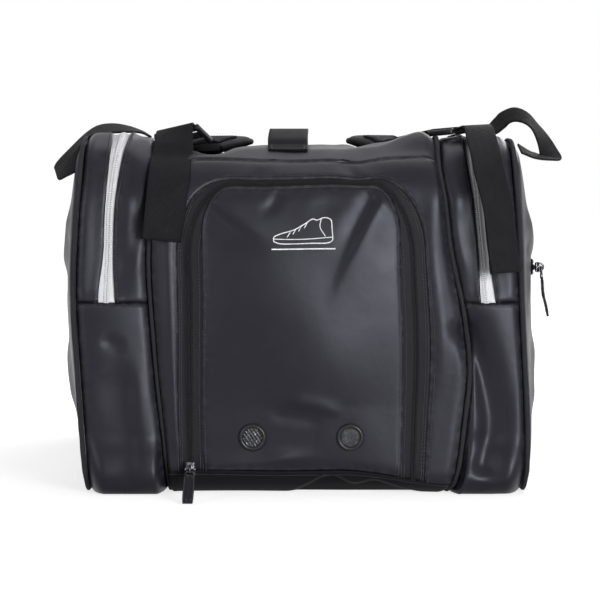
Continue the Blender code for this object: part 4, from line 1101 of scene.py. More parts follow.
def arch_zip(name, shape, widths, skin, panel):
    """Both tapes of a zip round an arch, the outer one on the bag and the inner one on the panel."""
    middle = arch(shape, 0.0)
    step = np.gradient(middle, axis=0)
    outwards = unit(np.stack([-step[:, 1], step[:, 0]], -1))

    def spot(run, d, lift):
        """Places at index run along the arch moved by d."""
        d = np.broadcast_to(d, np.broadcast_shapes(np.shape(run), np.shape(d)))
        run = np.broadcast_to(run, d.shape).astype(int)
        xh = middle[run] + outwards[run] * d[..., None]
        return skin(xh[..., 0], xh[..., 1], lift)

    for tag, way, width, where in (("outer", 1, widths[0], "bag"), ("inner", -1, widths[1], panel)):
        zip_half(f"{name}_tape_{tag}", spot, np.arange(len(middle)), way * COIL_GAP,
                 way * (width + TAPE_UNDER), where, [f"{name}_zip_{tag}"], MATS["tape"])


# Middle compartment.


def front_cloth():
    """The front end round the shoe door."""
    inner = arch(DOOR_HOLE, 0.0)
    outer = box_arch(MAIN_HALF_WIDTH, SEAM_LOW, SEAM_HIGH)
    t = eased(16)[:, None, None]
    xh = inner + (outer - inner) * t
    x, h = xh[..., 0], xh[..., 1]
    to_zip, _ = nearest(x, h, inner)
    to_side = MAIN_HALF_WIDTH - np.abs(x)
    to_top = SEAM_HIGH - h
    lift = -rolled(to_zip, *ZIP_ROLL) - rolled(to_side, *SEAM_ROLL) - rolled(to_top, *END_ROLL)
    gap = np.minimum(np.abs(to_zip), np.minimum(to_side, to_top))
    cloth_piece("front_cloth", front_skin(x, h, lift), plane_uv(x, h), gap, "bag", ["front_panel"])
    sewn_along("bag", front_skin, arch(DOOR_HOLE, STITCH_INSET))
    x = np.linspace(-END_ROW, END_ROW, 160)
    sewn("bag", lambda lift: front_skin(x, SEAM_HIGH + SEAM_STITCH, lift))
    low = np.linspace(-0.1315, 0.1315, 160)
    sewn("bag", lambda lift: front_skin(low, SEAM_LOW - SEAM_STITCH, lift))


def door_cloth():
    """The shoe door, with the strip under its fold that stays sewn to the base."""
    h, w = arch_rows(DOOR_RIM, 0.0, 84, 40)
    t = np.linspace(-1, 1, 97)
    x = w[:, None] * t
    h = np.broadcast_to(h[:, None], x.shape)
    rim = arch(DOOR_RIM, 0.0)
    to_zip, _ = nearest(x, h, rim)
    to_seam = h - SEAM_LOW
    lift = -rolled(to_zip, *RIM_ROLL) - rolled(to_seam, 0.0014, 0.0045)
    gap = np.minimum(np.abs(to_zip), to_seam)
    cloth_piece("door_cloth", front_skin(x, h, lift), plane_uv(x, h), gap, "door", ["shoe_door"])
    sewn_along("door", front_skin, arch(DOOR_RIM, -STITCH_INSET))


def top_cloth():
    """The top round the lid."""
    behind = MAIN.rear(SEAM_HIGH) - MAIN.roof(0.0)
    ahead = MAIN.roof(0.0) - MAIN.front(SEAM_HIGH)
    inner = closed(arch(LID, LID_ZIP[0], legs=70), feet=50)
    outer = closed(box_arch(MAIN_HALF_WIDTH, -behind, ahead, legs=70), feet=50)
    t = eased(34, 0.3)[:, None, None]
    xh = inner + (outer - inner) * t
    xh = np.concatenate([xh, xh[:, :1]], 1)
    x, h = xh[..., 0], xh[..., 1]
    to_zip, _ = nearest(x, h, inner[:-48])
    to_side = MAIN_HALF_WIDTH - np.abs(x)
    to_end = np.minimum(ahead - h, h + behind)
    lift = -rolled(to_zip, *ZIP_ROLL) - rolled(to_side, *SEAM_ROLL) - rolled(to_end, *END_ROLL)
    gap = np.minimum(np.abs(to_zip), np.minimum(to_side, to_end))
    cloth_piece("top_cloth", top_skin(x, h, lift), plane_uv(x, h), gap, "bag", ["top_panel"])
    sewn_along("bag", top_skin, arch(LID, LID_ZIP[0] + STITCH_INSET))


def lid_cloth():
    """The lid."""
    h, w = arch_rows(LID, -LID_ZIP[1], 66, 26)
    x = w[:, None] * np.linspace(-1, 1, 49)
    h = np.broadcast_to(h[:, None], x.shape)
    to_zip, _ = nearest(x, h, arch(LID, -LID_ZIP[1]))
    lift = -rolled(to_zip, *RIM_ROLL)
    cloth_piece("lid_cloth", top_skin(x, h, lift), plane_uv(x, h), to_zip, "lid", ["top_lid"])
    sewn_along("lid", top_skin, arch(LID, -LID_ZIP[1] - STITCH_INSET))


def base_sheet():
    """The base with its turned-up ends."""
    x = np.linspace(-MAIN_HALF_WIDTH, MAIN_HALF_WIDTH, 121)[None, :]
    turn = np.linspace(MAIN.front(SEAM_LOW), MAIN.marks[1], 34)
    flat = np.linspace(MAIN.marks[1], 0.0, 60)[1:]
    s = np.concatenate([turn, flat])
    s = np.concatenate([s, MAIN.marks[9] - s[-2::-1]])[:, None]
    to_side = MAIN_HALF_WIDTH - np.abs(x)
    gap = np.minimum(np.abs(s - MAIN.front(SEAM_LOW)), np.abs(s - MAIN.rear(SEAM_LOW)))
    lift = -rolled(gap, 0.0012, 0.0040) - rolled(to_side, *BASE_ROLL)
    cloth_piece("base_cloth", main_skin(x, s, lift), plane_uv(x, s), np.minimum(gap, to_side), "bag",
                ["base_panel"], "base")


def rear_cloth():
    """The rear end."""
    x = np.linspace(-MAIN_HALF_WIDTH, MAIN_HALF_WIDTH, 121)[None, :]
    to_side = MAIN_HALF_WIDTH - np.abs(x)
    s = np.linspace(MAIN.rear(SEAM_HIGH), MAIN.rear(SEAM_LOW), 100)[:, None]
    gap = np.minimum(s - s[0], s[-1] - s)
    lift = -rolled(gap, 0.0014, 0.0040) - rolled(to_side, *SEAM_ROLL)
    cloth_piece("rear_cloth", main_skin(x, s, lift), plane_uv(x, s), np.minimum(gap, to_side), "bag",
                ["rear_panel"])
    across = np.linspace(-END_ROW, END_ROW, 160)
    for h in (SEAM_HIGH + SEAM_STITCH, SEAM_LOW - SEAM_STITCH):
        sewn("bag", lambda lift, h=h: main_skin(across, MAIN.rear(h), lift))


def shoe_liner():
    """The sleeve of the shoe compartment, slack between its mouth and its back."""
    shape = (DOOR[0], LINER_FOOT, DOOR[2], DOOR[3])
    mouth = closed(arch(shape, DOOR_ZIP[0] + 0.002, legs=24, bends=14, tops=16), feet=24)
    front = front_skin(mouth[:, 0], mouth[:, 1], -CLOTH - 0.0016)
    front[:, 0] += slump(front[:, 0], front[:, 2])
    height = LINER_FLOOR + (front[:, 2] - LINER_FLOOR) * 0.97
    back = np.stack([mouth[:, 0] * 0.96, np.full(len(mouth), LINER_BACK), height], -1)
    centre = np.array((0.0, LINER_BACK, 0.15))
    rows = []
    for t in np.linspace(0.0, 1.0, 30):
        row = front + (back - front) * t
        wave = 0.0022 * np.sin(t * 19 + mouth[:, 1] * 40) * math.sin(math.pi * t)
        rows.append(row - unit((row - centre) * (1, 0, 1)) * (0.004 * math.sin(math.pi * t) + wave)[:, None])
    for t in np.linspace(1.0, 0.0, 14)[1:]:
        sag = (0, -0.006 * (1 - t * t), 0)
        rows.append(centre + (back - centre) * t + sag)
    rows = np.array(rows)
    rows = np.concatenate([rows, rows[:, :1]], 1)
    run = run_lengths(rows[:, 0])[:, None]
    girth = run_lengths(rows[0])[None, :]
    obj = grid_object("liner_cloth", rows, plane_uv(girth, run), centre=(0, -0.2, 0.15))
    weld(obj)
    thicken(dress(obj, MATS["lining"]), LINER_CLOTH)
    attach(obj, "bag", ["shoe_liner"])


# Racket pockets.


def pocket_tub(side, name, centre):
    """The lower part of a pocket, up to the fold line at both ends."""
    low = POCKET.front(FOLD_HEIGHT)
    _, bottom, foot = POCKET.marks[:3]
    stretches = ((low, foot, 52), (foot, bottom, 26), (bottom, 0.0, 56))
    s = np.concatenate([np.linspace(*stretch)[k > 0:] for k, stretch in enumerate(stretches)])
    s = np.concatenate([s, POCKET.marks[9] - s[-2::-1]])[:, None]
    reach = POCKET_INNER + (POCKET_OUTER - POCKET_INNER) * eased(30, 0.4)[None, :]
    to_side = np.minimum(reach - POCKET_INNER, POCKET_OUTER - reach)
    to_fold = np.minimum(np.abs(s - low), np.abs(s - (POCKET.marks[9] - low)))
    lift = -rolled(to_side, *GUSSET_ROLL) - rolled(to_fold, *FOLD_ROLL)
    cloth_piece(f"{name}_tub_cloth", pocket_skin(side, s, reach, lift), plane_uv(reach, s),
                np.minimum(to_side, to_fold), "bag", [f"{name}_pocket_base"], centre=centre)
    across = np.linspace(POCKET_INNER + 0.002, POCKET_OUTER - 0.002, 30)
    for end in (POCKET.front, POCKET.rear):
        sewn("bag", lambda lift, end=end: pocket_skin(side, end(FOLD_HEIGHT - 0.0040), across, lift))


def pocket_top(side, name, centre):
    """Two gusset strips over the top with the white zip between them, which shows more at its ends."""
    first, last = POCKET.front(FOLD_HEIGHT), POCKET.rear(FOLD_HEIGHT)
    over = np.linspace(first, last, 270)
    marks = POCKET.marks
    roof = smoothstep(marks[3], marks[4], over) * smoothstep(marks[6], marks[5], over)
    narrow, broad = ZIP_SHOW
    show = narrow + (broad - narrow) * np.maximum(np.exp(-((over - first) / 0.030) ** 2), roof)
    show = np.maximum(show, broad * smoothstep(marks[5], marks[6], over))
    t = eased(14, 0.5)[None, :]
    s = over[:, None]
    for strip, way, start, end, where, node in (
            ("inner", -1, POCKET_INNER, POCKET_COIL - show, "bag", f"{name}_pocket_gusset"),
            ("outer", 1, POCKET_COIL + show, POCKET_OUTER, name, f"{name}_flap_gusset")):
        start, end = (np.broadcast_to(side_of, show.shape)[:, None] for side_of in (start, end))
        reach = start + (end - start) * t
        to_pipe, to_zip = (reach - start, end - reach)[::-way]
        to_fold = np.minimum(s - first, last - s)
        lift = -rolled(to_pipe, *GUSSET_ROLL) - rolled(to_zip, *LIP_ROLL) - rolled(to_fold, *FOLD_ROLL)
        lift = lift + ZIP_LIP * (1 - smoothstep(0.0, 0.010, to_zip))
        gap = np.minimum(np.minimum(to_pipe, to_zip), to_fold)
        cloth_piece(f"{name}_gusset_{strip}", pocket_skin(side, s, reach, lift), plane_uv(reach, s), gap,
                    where, [node], centre=centre)
        line = POCKET_COIL + way * (show + 0.0028)
        sewn(where, lambda lift, line=line: pocket_skin(side, over, line, lift + ZIP_LIP))

    def tape(run, d, lift):
        return pocket_skin(side, run, POCKET_COIL + d, lift)

    for strip, way, where in (("inner", -1, "bag"), ("outer", 1, name)):
        zip_half(f"{name}_tape_{strip}", tape, over, way * COIL_GAP, way * WHITE_TAPE, where,
                 [f"{name}_zip_{strip}"], MATS["white"], seam=False)


def pocket_side(side, name, centre):
    """The outer panel, which bends at its fold line, where the flap starts."""
    z = SIDE_INSET + (POCKET_TOP - 2 * SIDE_INSET) * eased(96, 0.55)[:, None]
    share = (eased(150, 0.3) * 2 - 1)[None, :]
    y = share * POCKET.reach(z, SIDE_INSET)
    rim = [np.stack([end * POCKET.reach(z[:, 0], SIDE_INSET), z[:, 0]], -1) for end in (-1, 1)]
    rim = np.concatenate([rim[0], rim[1][::-1], rim[0][:1]])
    gap, _ = nearest(y, z + 0 * y, spread_along(rim, 0.006))
    lift = -rolled(gap, *PANEL_ROLL)
    cloth_piece(f"{name}_side_cloth", side_skin(side, y, z, lift), plane_uv(y, z), gap, name,
                [f"{name}_pocket_panel", f"{name}_flap_panel"], centre=centre)


def pocket_wall(side, name):
    """The wall to the middle compartment, turned in at both ends behind the end cloths."""
    z = WALL_INSET + (POCKET_TOP - 2 * WALL_INSET) * eased(40, 0.5)[:, None]
    reach = POCKET.reach(z, WALL_INSET)
    y = (eased(90, 0.2) * 2 - 1)[None, :] * reach
    bow = WALL_BOW * np.sin(y * 23) * np.sin(z * 31)
    turned_in = WALL_TURN * (1 - smoothstep(0.0, 0.010, reach - np.abs(y)))
    points = np.stack([side * (WALL_X - 0.0012 - turned_in) + bow, y, z + 0 * y], -1)
    points[..., 0] += slump(points[..., 0], points[..., 2]) * smoothstep(*FRONT_LEAN, points[..., 1])
    wall = grid_object(f"{name}_wall_cloth", points, plane_uv(y, z), centre=(side * 0.2, 0, 0.15))
    thicken(dress(wall, MATS["lining"]), CLOTH)
    attach(wall, "bag", [f"{name}_wall"])


def pocket(side, name):
    """One racket pocket: tub, gussets, zip, outer panel, wall and piping."""
    centre = (side * 0.170, 0.0, 0.16)
    pocket_tub(side, name, centre)
    pocket_top(side, name, centre)
    pocket_side(side, name, centre)
    pocket_wall(side, name)
    piping(f"{name}_piping_in", side, INNER_PIPING_X, "bag", [f"{name}_piping_inner"])
    piping(f"{name}_piping_out", side, OUTER_PIPING_X, name, [f"{name}_piping_lower", f"{name}_flap_piping"])


def tube_points(line, radius, guide, sides=12, closed_line=False):
    """Rings round a line; guide is a direction, or one at each point, that the line never runs in."""
    ahead = np.roll(line, -1, 0) - np.roll(line, 1, 0) if closed_line else np.gradient(line, axis=0)
    ahead = unit(ahead)
    side = unit(guide - ahead * (ahead * guide).sum(-1, keepdims=True))
    up = np.cross(ahead, side)
    turn = turns(sides)
    radius = np.broadcast_to(radius, (len(line),))[:, None, None]
    round_it = side[:, None] * np.cos(turn)[:, None] + up[:, None] * np.sin(turn)[:, None]
    return line[:, None] + radius * round_it


def piping(name, side, x, where, nodes):
    """Corded piping all the way round a pocket's outline."""
    s = np.linspace(0.0, POCKET.marks[9], 460, endpoint=False)
    y, z, ny, nz = POCKET.at(s)
    y, z = y - ny * PIPING_SINK, z - nz * PIPING_SINK
    line = np.stack([np.full(len(s), side * x), y, np.maximum(z, PIPING_RADIUS + 0.0006)], -1)
    line[:, 2] -= shoulder(x, z)
    line = settle(line)
    line[:, 2] = np.maximum(line[:, 2], PIPING_RADIUS + 0.0004)
    plump = PIPING_RADIUS * (1 + 0.05 * np.sin(s * 310) + 0.04 * np.sin(s * 97 + 1))
    rings = tube_points(line, plump, np.array((1.0, 0.0, 0.0)), closed_line=True)
    rings = np.concatenate([rings, rings[:1]])
    girth = np.linspace(0, 2 * math.pi * PIPING_RADIUS, rings.shape[1] + 1)[None, :]
    run = np.append(s, POCKET.marks[9])[:, None]
    obj = grid_object(name, rings, plane_uv(girth, run), wrap=True, centre=(side * x, 0, 0.16))
    weld(obj)
    attach(dress(obj, MATS["piping"]), where, nodes)


# Webbing and straps.

SECTION_ACROSS = (-0.975, -0.80, -0.5, -0.17, 0.17, 0.5, 0.80, 0.975)


def strap_section():
    """A flat strap's cross-section as shares of its half width and of its thickness."""
    top = [(a, 0.5) for a in SECTION_ACROSS]
    right = [(0.995, 0.30), (1.0, 0.0), (0.995, -0.30)]
    return np.array(top + right + [(-a, -b) for a, b in top] + [(-a, -b) for a, b in right])


def strap(name, stops, halves, thickness, mat, steps=10, hem=0.0):
    """Webbing along the stops, with half its width at each as a vector. A hem doubles its end."""
    line, wide = catmull(stops, steps), catmull(halves, steps)
    ahead = unit(np.gradient(line, axis=0))
    up = unit(np.cross(wide, ahead))
    run = run_lengths(line)
    thick = thickness * (1 + 0.85 * smoothstep(run[-1] - hem, run[-1] - hem + 0.0012, run) * (hem > 0))
    section = strap_section()
    a, b = section[:, 0], section[:, 1]
    points = (line[:, None] + wide[:, None] * a[None, :, None]
              + up[:, None] * (thick[:, None] * b[None, :])[..., None])
    width = np.linalg.norm(wide, axis=1)[:, None]
    around = np.append(a, a[0])[None, :]
    obj = grid_object(name, points, plane_uv(around * width, run[:, None]), wrap=True, caps=True,
                      centre=points.reshape(-1, 3).mean(0))
    weld(obj)
    return dress(obj, mat), line, wide, up


def box_stitch(where, line, wide, up, start, end, lift):
    """A sewn rectangle across a strap between two of its stations."""
    run = np.arange(start, end + 1)
    inset = 0.82
    over = up * lift
    left, right = line - wide * inset + over, line + wide * inset + over
    rows, ways = [left[run], right[run]], [up[run], up[run]]
    for k in (start, end):
        rows.append(np.linspace(left[k], right[k], 12))
        ways.append(np.repeat(up[k][None], 12, 0))
    for row, way in zip(rows, ways):
        stitch_row(where, row, way, 0.0030)


def shoulder_strap(side, name):
    """A padded shoulder strap lying on the top, with its bindings and its buckle's keeper."""
    path = [(MAIN.roof(y), side * x, rise) for y, x, rise in STRAP_PATH]
    path += [(s, path[-1][1], 0.0) for s in np.linspace(MAIN.marks[5], MAIN.rear(SEAM_HIGH + 0.004), 6)[1:]]
    s, x, rise = spread_along(catmull(path, 10), 0.0028).T
    lift = STRAP_LIFT + STRAP_PAD / 2 + rise
    line = settle(main_skin(x, s, lift))
    ahead = unit(np.gradient(line, axis=0))
    up = unit(main_skin(x, s, lift + 0.001) - main_skin(x, s, lift))
    wide = unit(np.cross(ahead, up)) * STRAP_HALF
    run = run_lengths(line)
    ends = np.minimum(1.0, 0.45 + 0.55 * np.sqrt(np.clip(np.minimum(run, run[-1] - run) / 0.016, 0, 1)))
    strap_pad(name, line, wide, up, ends)
    for end in (-1, 1):
        tag = "out" if end == side else "in"
        strap_binding(f"{name}_pad_binding_{tag}", line + wide * (end * 0.985) - up * 0.0004, up, run, ends)
    buckle_keeper(name, line, wide, up)


def strap_pad(name, line, wide, up, ends):
    """The pad along a line, thinner at its ends and at its sewn channels."""
    run = run_lengths(line)
    channel = 1 - 0.22 * np.exp(-((((run + 0.018) % 0.062) - 0.031) / 0.0035) ** 2)
    angle = turns(28)
    a = np.sign(np.cos(angle)) * np.abs(np.cos(angle)) ** 0.45
    b = np.sign(np.sin(angle)) * np.abs(np.sin(angle)) ** 0.75 * 0.5
    thick = STRAP_PAD * ends * channel
    points = line[:, None] + wide[:, None] * a[None, :, None] * (0.9 + 0.1 * ends)[:, None, None]
    points = points + up[:, None] * (thick[:, None] * b[None, :])[..., None]
    around = np.append(a, a[0])[None, :] * STRAP_HALF
    pad = grid_object(f"{name}_pad", points, plane_uv(around, run[:, None]), wrap=True, caps=True)
    weld(pad)
    dress(pad, MATS["pad"])
    attach(pad, "bag", [f"{name}_shoulder_strap"])


def strap_binding(name, rim, up, run, ends):
    """Webbing bound round one edge of a pad."""
    rings = tube_points(rim, 0.0017 + 0.0012 * ends, up, sides=10)
    girth = np.linspace(0, 0.02, 11)[None, :]
    binding = grid_object(name, rings, plane_uv(girth, run[:, None]), wrap=True, caps=True)
    weld(binding)
    attach(dress(binding, MATS["web"]), "bag")


def buckle_keeper(name, line, wide, up):
    """A doubled webbing end on the pad, which holds the buckle's rear bar."""
    seat = basis(*BUCKLES[name])
    bar = np.array(seat @ Vector((0, BUCKLE_SIZE[1] / 2 - 0.0030, 0.0030)))
    back = np.array(seat.col[0].to_3d()) * 0.0175
    tips = [line[k] + up[k] * (STRAP_PAD * share) for k, share in ((9, 0.60), (5, 0.60), (1, 0.52))]
    halves = [wide[k] * 0.78 for k in (9, 5, 1)]
    back *= np.sign(back @ halves[0])
    stops = tips + [(tips[-1] + bar) / 2, bar]
    halves += [(halves[-1] + back) / 2, back]
    keeper, line, wide, up = strap(f"{name}_buckle_keeper", stops, halves, WEBBING, MATS["web"], steps=8)
    attach(keeper, "bag")
    box_stitch("bag", line, wide, up * np.sign(up[:1, 2:]), 1, 15, WEBBING * 0.5)


def tails():
    """The webbing that leaves each buckle and hangs free down the front."""
    half = (TAIL_HALF, 0.0, 0.0)
    hang = ((-0.1150, 0.3140), (-0.1160, 0.2985), (-0.1172, 0.280), (-0.1196, 0.256), (-0.1232, 0.229))
    stops = [(-0.1095, -0.2100, 0.3248), (-0.1126, -0.2160, 0.3302), (-0.1142, -0.2200, 0.3296),
             (-0.1140, -0.2268, 0.3240), (-0.1142, -0.2360, 0.3150)]
    stops += [front_skin(x, h, TAIL_LIFT) for x, h in hang]
    halves = [(0.0166, -0.0068, 0.0036), (0.0166, -0.0068, 0.0036), (0.0167, -0.0064, 0.0034),
              (0.0170, -0.0040, 0.0010), (0.0176, -0.0016, -0.0006), half, (0.0185, 0.0003, 0.0),
              (0.0185, 0.0005, 0.0003), (0.0180, 0.0040, -0.0008), (0.0170, 0.0070, -0.0018)]
    free_webbing("left", stops, halves)

    stops = [(0.14875, -0.20625, 0.3286), (0.1578, -0.2180, 0.3312), (0.1618, -0.2320, 0.3312),
             (0.1637, -0.2475, 0.3215), (0.1668, -0.2640, 0.3050), (0.1690, -0.2740, 0.2900),
             (0.1749, -0.2815, 0.2654), (0.1785, -0.2830, 0.2431), (0.1834, -0.2830, 0.2005)]
    halves = [(0.0130, 0.0130, 0.0018), (0.0132, 0.0128, 0.0010), (0.0134, 0.0120, 0.0010),
              (0.0138, 0.0118, 0.0020), (0.0138, 0.0118, 0.0020), (0.0138, 0.0119, 0.0016),
              (0.0138, 0.0120, 0.0012), (0.0138, 0.0120, 0.0008), (0.0138, 0.0120, 0.0006)]
    free_webbing("right", stops, halves)


def free_webbing(name, stops, halves):
    """One strap's free webbing, hemmed at its hanging end."""
    piece, line, *_ = strap(f"{name}_webbing", stops, halves, WEBBING, MATS["web"], steps=9, hem=0.013)
    attach(piece, f"{name}_tail", [f"{name}_strap_web", f"{name}_strap_tail"])


def carry_handle():
    """Webbing handle sewn to the top at both ends."""
    ys = (-0.2360, -0.2310, -0.2250, -0.2140, -0.1800, -0.1460, -0.1350, -0.1290, -0.1240)
    rises = (0.0016, 0.0018, 0.0030, 0.0090, 0.0140, 0.0090, 0.0030, 0.0018, 0.0016)
    turn = MAIN.rt - MAIN.half
    stops = []
    for y, rise in zip(ys, rises):
        s = MAIN.roof(max(y, turn)) - max(0.0, turn - y)
        stops.append(settle(main_skin(HANDLE_X, s, rise)))
    piece, line, wide, up = strap("handle_webbing", stops, [(HANDLE_HALF, 0.0, 0.0)] * len(stops), WEBBING,
                                  MATS["web"], steps=9)
    attach(piece, "bag", ["carry_handle"])
    up = up * np.sign(up[:, 2:])
    box_stitch("bag", line, wide, up, 1, 16, WEBBING * 0.5)
    box_stitch("bag", line, wide, up, len(line) - 17, len(line) - 2, WEBBING * 0.5)


# Each loop from the inner piping to the pocket's outer edge, as stops and half widths in millimetres.
LOOPS = {
    "left": (((-139.5, -156, 323.0), (0, 12.5, 0)), ((-148.0, -160, 327.5), (0, 12.5, 0.8)),
             ((-161.0, -169, 330.0), (0, 12.0, 3.0)), ((-174.9, -179, 330.5), (0, 11.5, 4.5)),
             ((-186.8, -189, 328.5), (-1.0, 11.6, 4.2)), ((-196.9, -199, 322.5), (-1.5, 12.0, 2.5)),
             ((-208.0, -209, 309.0), (-3.0, 11.5, 3.0)), ((-217.2, -218, 296.5), (-5.0, 10.5, 2.8)),
             ((-221.5, -225, 289.0), (-2.8, 11.3, 4.0)), ((-218.0, -231, 289.0), (-1.0, 10.8, 5.8)),
             ((-211.0, -235, 294.0), (0, 9.5, 8.0)), ((-203.5, -237, 299.0), (0, 8.2, 9.4)),
             ((-196.0, -236, 305.5), (0, 7.5, 9.6))),
    "right": (((139.5, -156, 323.0), (0, 12.5, 0)), ((158.0, -163, 328.0), (0, 12.5, 0.5)),
              ((176.0, -174, 328.0), (-3.0, 11.5, 3.0)), ((185.0, -180, 334.8), (-3.5, 10.5, 4.5)),
              ((190.5, -185, 340.3), (-3.0, 10.5, 5.2)), ((198.8, -193, 343.1), (0, 9.5, 6.5)),
              ((208.0, -201, 339.9), (2.0, 10.0, 5.2)), ((215.4, -208, 332.0), (3.5, 10.5, 2.5)),
              ((221.8, -214, 321.9), (6.0, 9.5, 1.6)), ((226.4, -220, 311.3), (8.5, 7.0, 0.5)),
              ((228.2, -226, 303.9), (10.5, 1.5, -1.8)), ((220.9, -231, 304.1), (6.0, -8.5, -3.0)),
              ((210.8, -237, 305.8), (2.0, -10.8, -3.3)), ((198.8, -243, 311.3), (1.0, -10.5, -4.2))),
}


def side_loop(name):
    """A webbing loop over the pocket; the left one droops and the right one stands up."""
    stops, halves = np.array(LOOPS[name]).transpose(1, 0, 2) * MM
    piece, *_ = strap(f"{name}_loop_webbing", stops, halves, LOOP_WEBBING, MATS["web"], steps=9)
    attach(piece, f"{name}_loop", [f"{name}_loop"])


# Hardware.


def basis(origin, along, out):
    """A frame whose Y runs along, Z points out and X completes it."""
    along = Vector(along).normalized()
    side = along.cross(Vector(out)).normalized()
    out = side.cross(along).normalized()
    rows = [[side[i], along[i], out[i], origin[i]] for i in range(3)]
    return Matrix(rows + [[0, 0, 0, 1]])


def add_block(bm, size, centre=(0, 0, 0), bevel=0.0006, taper=1.0):
    """A rounded block, drawn in at its +Y end by taper."""
    made = bmesh.ops.create_cube(bm, size=1.0)["verts"]
    for vert in made:
        narrow = taper if vert.co.y > 0 else 1.0
        scaled = (vert.co.x * size[0] * narrow, vert.co.y * size[1], vert.co.z * size[2])
        vert.co = Vector(scaled) + Vector(centre)
    edges = list({edge for vert in made for edge in vert.link_edges})
    bmesh.ops.bevel(bm, geom=edges, offset=bevel, segments=4, profile=0.5, affect="EDGES", clamp_overlap=True)


def add_ring(bm, radius, wire, matrix, major=40, minor=12):
    """A round wire ring in the matrix's XY plane."""
    turn = turns(major)
    girth = turns(minor)
    rings = []
    for t in turn:
        out = radius + wire * np.cos(girth)
        spots = [Vector((r * math.cos(t), r * math.sin(t), wire * math.sin(g))) for r, g in zip(out, girth)]
        rings.append([bm.verts.new(matrix @ spot) for spot in spots])
    for i in range(major):
        for j in range(minor):
            a, b = rings[i], rings[(i + 1) % major]
            bm.faces.new((a[j], b[j], b[(j + 1) % minor], a[(j + 1) % minor]))


def hardware(name, bm, mat, matrix):
    """A piece from gathered blocks and rings, smooth with crisp corners."""
    bmesh.ops.recalc_face_normals(bm, faces=bm.faces[:])
    bm.transform(matrix)
    mesh = bpy.data.meshes.new(name)
    bm.to_mesh(mesh)
    bm.free()
    return new_object(name, mesh, mat)


def zip_slider(name, top, along, out, hang):
    """A slider with the bail that its pull hangs from."""
    seat = basis(top - out * BAIL_TOP, along, out)
    bm = bmesh.new()
    add_block(bm, (0.0095, 0.0130, 0.0014), (0, 0, 0.0008), 0.0005, 0.78)
    add_block(bm, (0.0030, 0.0096, 0.0018), (0, 0, 0.0021), 0.0004)
    add_block(bm, (0.0088, 0.0124, 0.0013), (0, 0, 0.0035), 0.0006, 0.74)
    for cheek in (0.0042, -0.0042):
        add_block(bm, (0.0012, 0.0070, 0.0022), (cheek, -0.0022, 0.0026), 0.0004)
    across = Vector(hang).cross(out).normalized()
    local = seat.inverted() @ basis(seat @ Vector((0, 0, SLIDER_HEIGHT)), out, across)
    add_ring(bm, BAIL_RADIUS, BAIL_WIRE, local)
    slider = hardware(f"{name}_zip_slider", bm, MATS["metal"], seat)
    attach(slider, f"{name}_slider", [f"{name}_slider"])


def zip_pull(name, along, out, hang, face, length, width, flick=0.0):
    """A slider, and the ring and ribbon tab on it; flick turns the tab's end up."""
    top = Vector(JOINTS[f"{name}_pull_swing"]["pos_m"])
    zip_slider(name, top, along, Vector(out).normalized(), hang)
    hung = basis(top, hang, face)
    bm = bmesh.new()
    add_ring(bm, RING_RADIUS, RING_WIRE, Matrix.Translation((0, RING_RADIUS - RING_WIRE / 2, 0)))
    add_block(bm, (0.0066, 0.0052, 0.0024), (0, 2 * RING_RADIUS + 0.0006, 0), 0.0007)
    ring = hardware(f"{name}_pull_ring", bm, MATS["metal"], hung)
    attach(ring, f"{name}_pull")
    start, end = 2 * RING_RADIUS - 0.0010, 2 * RING_RADIUS - 0.0022 + length
    ys = np.linspace(start, end, 9)
    half = width / 2 * np.array([0.62, 0.92, 1, 1, 1, 1, 1, 0.98, 0.90])
    rise = flick * ((ys - start) / (end - start)) ** 2
    stops = [hung @ Vector((0, y, h + 0.0003 * math.sin(i * 1.3))) for i, (y, h) in enumerate(zip(ys, rise))]
    halves = [hung.to_3x3() @ Vector((h, 0, 0)) for h in half]
    tab, line, wide, up = strap(f"{name}_pull_ribbon", stops, halves, RIBBON, MATS["tab"], steps=5)
    attach(tab, f"{name}_pull", [f"{name}_pull"])
    for over in (1, -1):
        box_stitch(f"{name}_pull", line, wide, up * over, 6, len(line) - 4, 0.0009)


def pulls():
    """The five zip pulls."""
    zip_pull("shoe", (0, 0, 1), (0, -1, 0), (0.0, -0.903, -0.430), (0.0, -0.430, 0.903), 0.048, 0.010)
    zip_pull("lid", (0, -1, 0), (0, 0, 1), (0.0, 0.995, 0.02), (0.0, 0.02, 0.995), 0.036, 0.008)
    for _, name in SIDES:
        zip_pull(name, (0, 0, 1), (0, 1, 0), (0.0, 0.10, -0.995), (0.0, 0.995, 0.10), 0.036, 0.008)
    run = JOINTS["side_slider_run"]["axis"]
    zip_pull("side", run, (1, 0, 0), (0.06, 0.0, -0.998), (0.998, 0.0, 0.06), 0.040, 0.009, 0.0040)


def buckles():
    """Ladder-lock buckles: two rails and three bars, the middle one ribbed."""
    width, length, thickness = BUCKLE_SIZE
    bar = width - 0.003
    for name, seat in BUCKLES.items():
        bm = bmesh.new()
        for end in (-1, 1):
            add_block(bm, (0.0040, length, thickness), (end * (width / 2 - 0.0020), 0, 0), 0.0014)
            add_block(bm, (bar, 0.0056, thickness * 0.8), (0, end * (length / 2 - 0.0029), 0), 0.0014)
        add_block(bm, (bar, 0.0084, thickness * 0.62), (0, 0, -0.0003), 0.0012)
        for k in np.linspace(-0.016, 0.016, 7):
            add_block(bm, (0.0010, 0.0070, 0.0010), (k, 0, thickness * 0.30), 0.0003)
        piece = hardware(f"{name}_ladder_lock", bm, MATS["plastic"], basis(*seat))
        attach(piece, "bag", [f"{name}_buckle"])


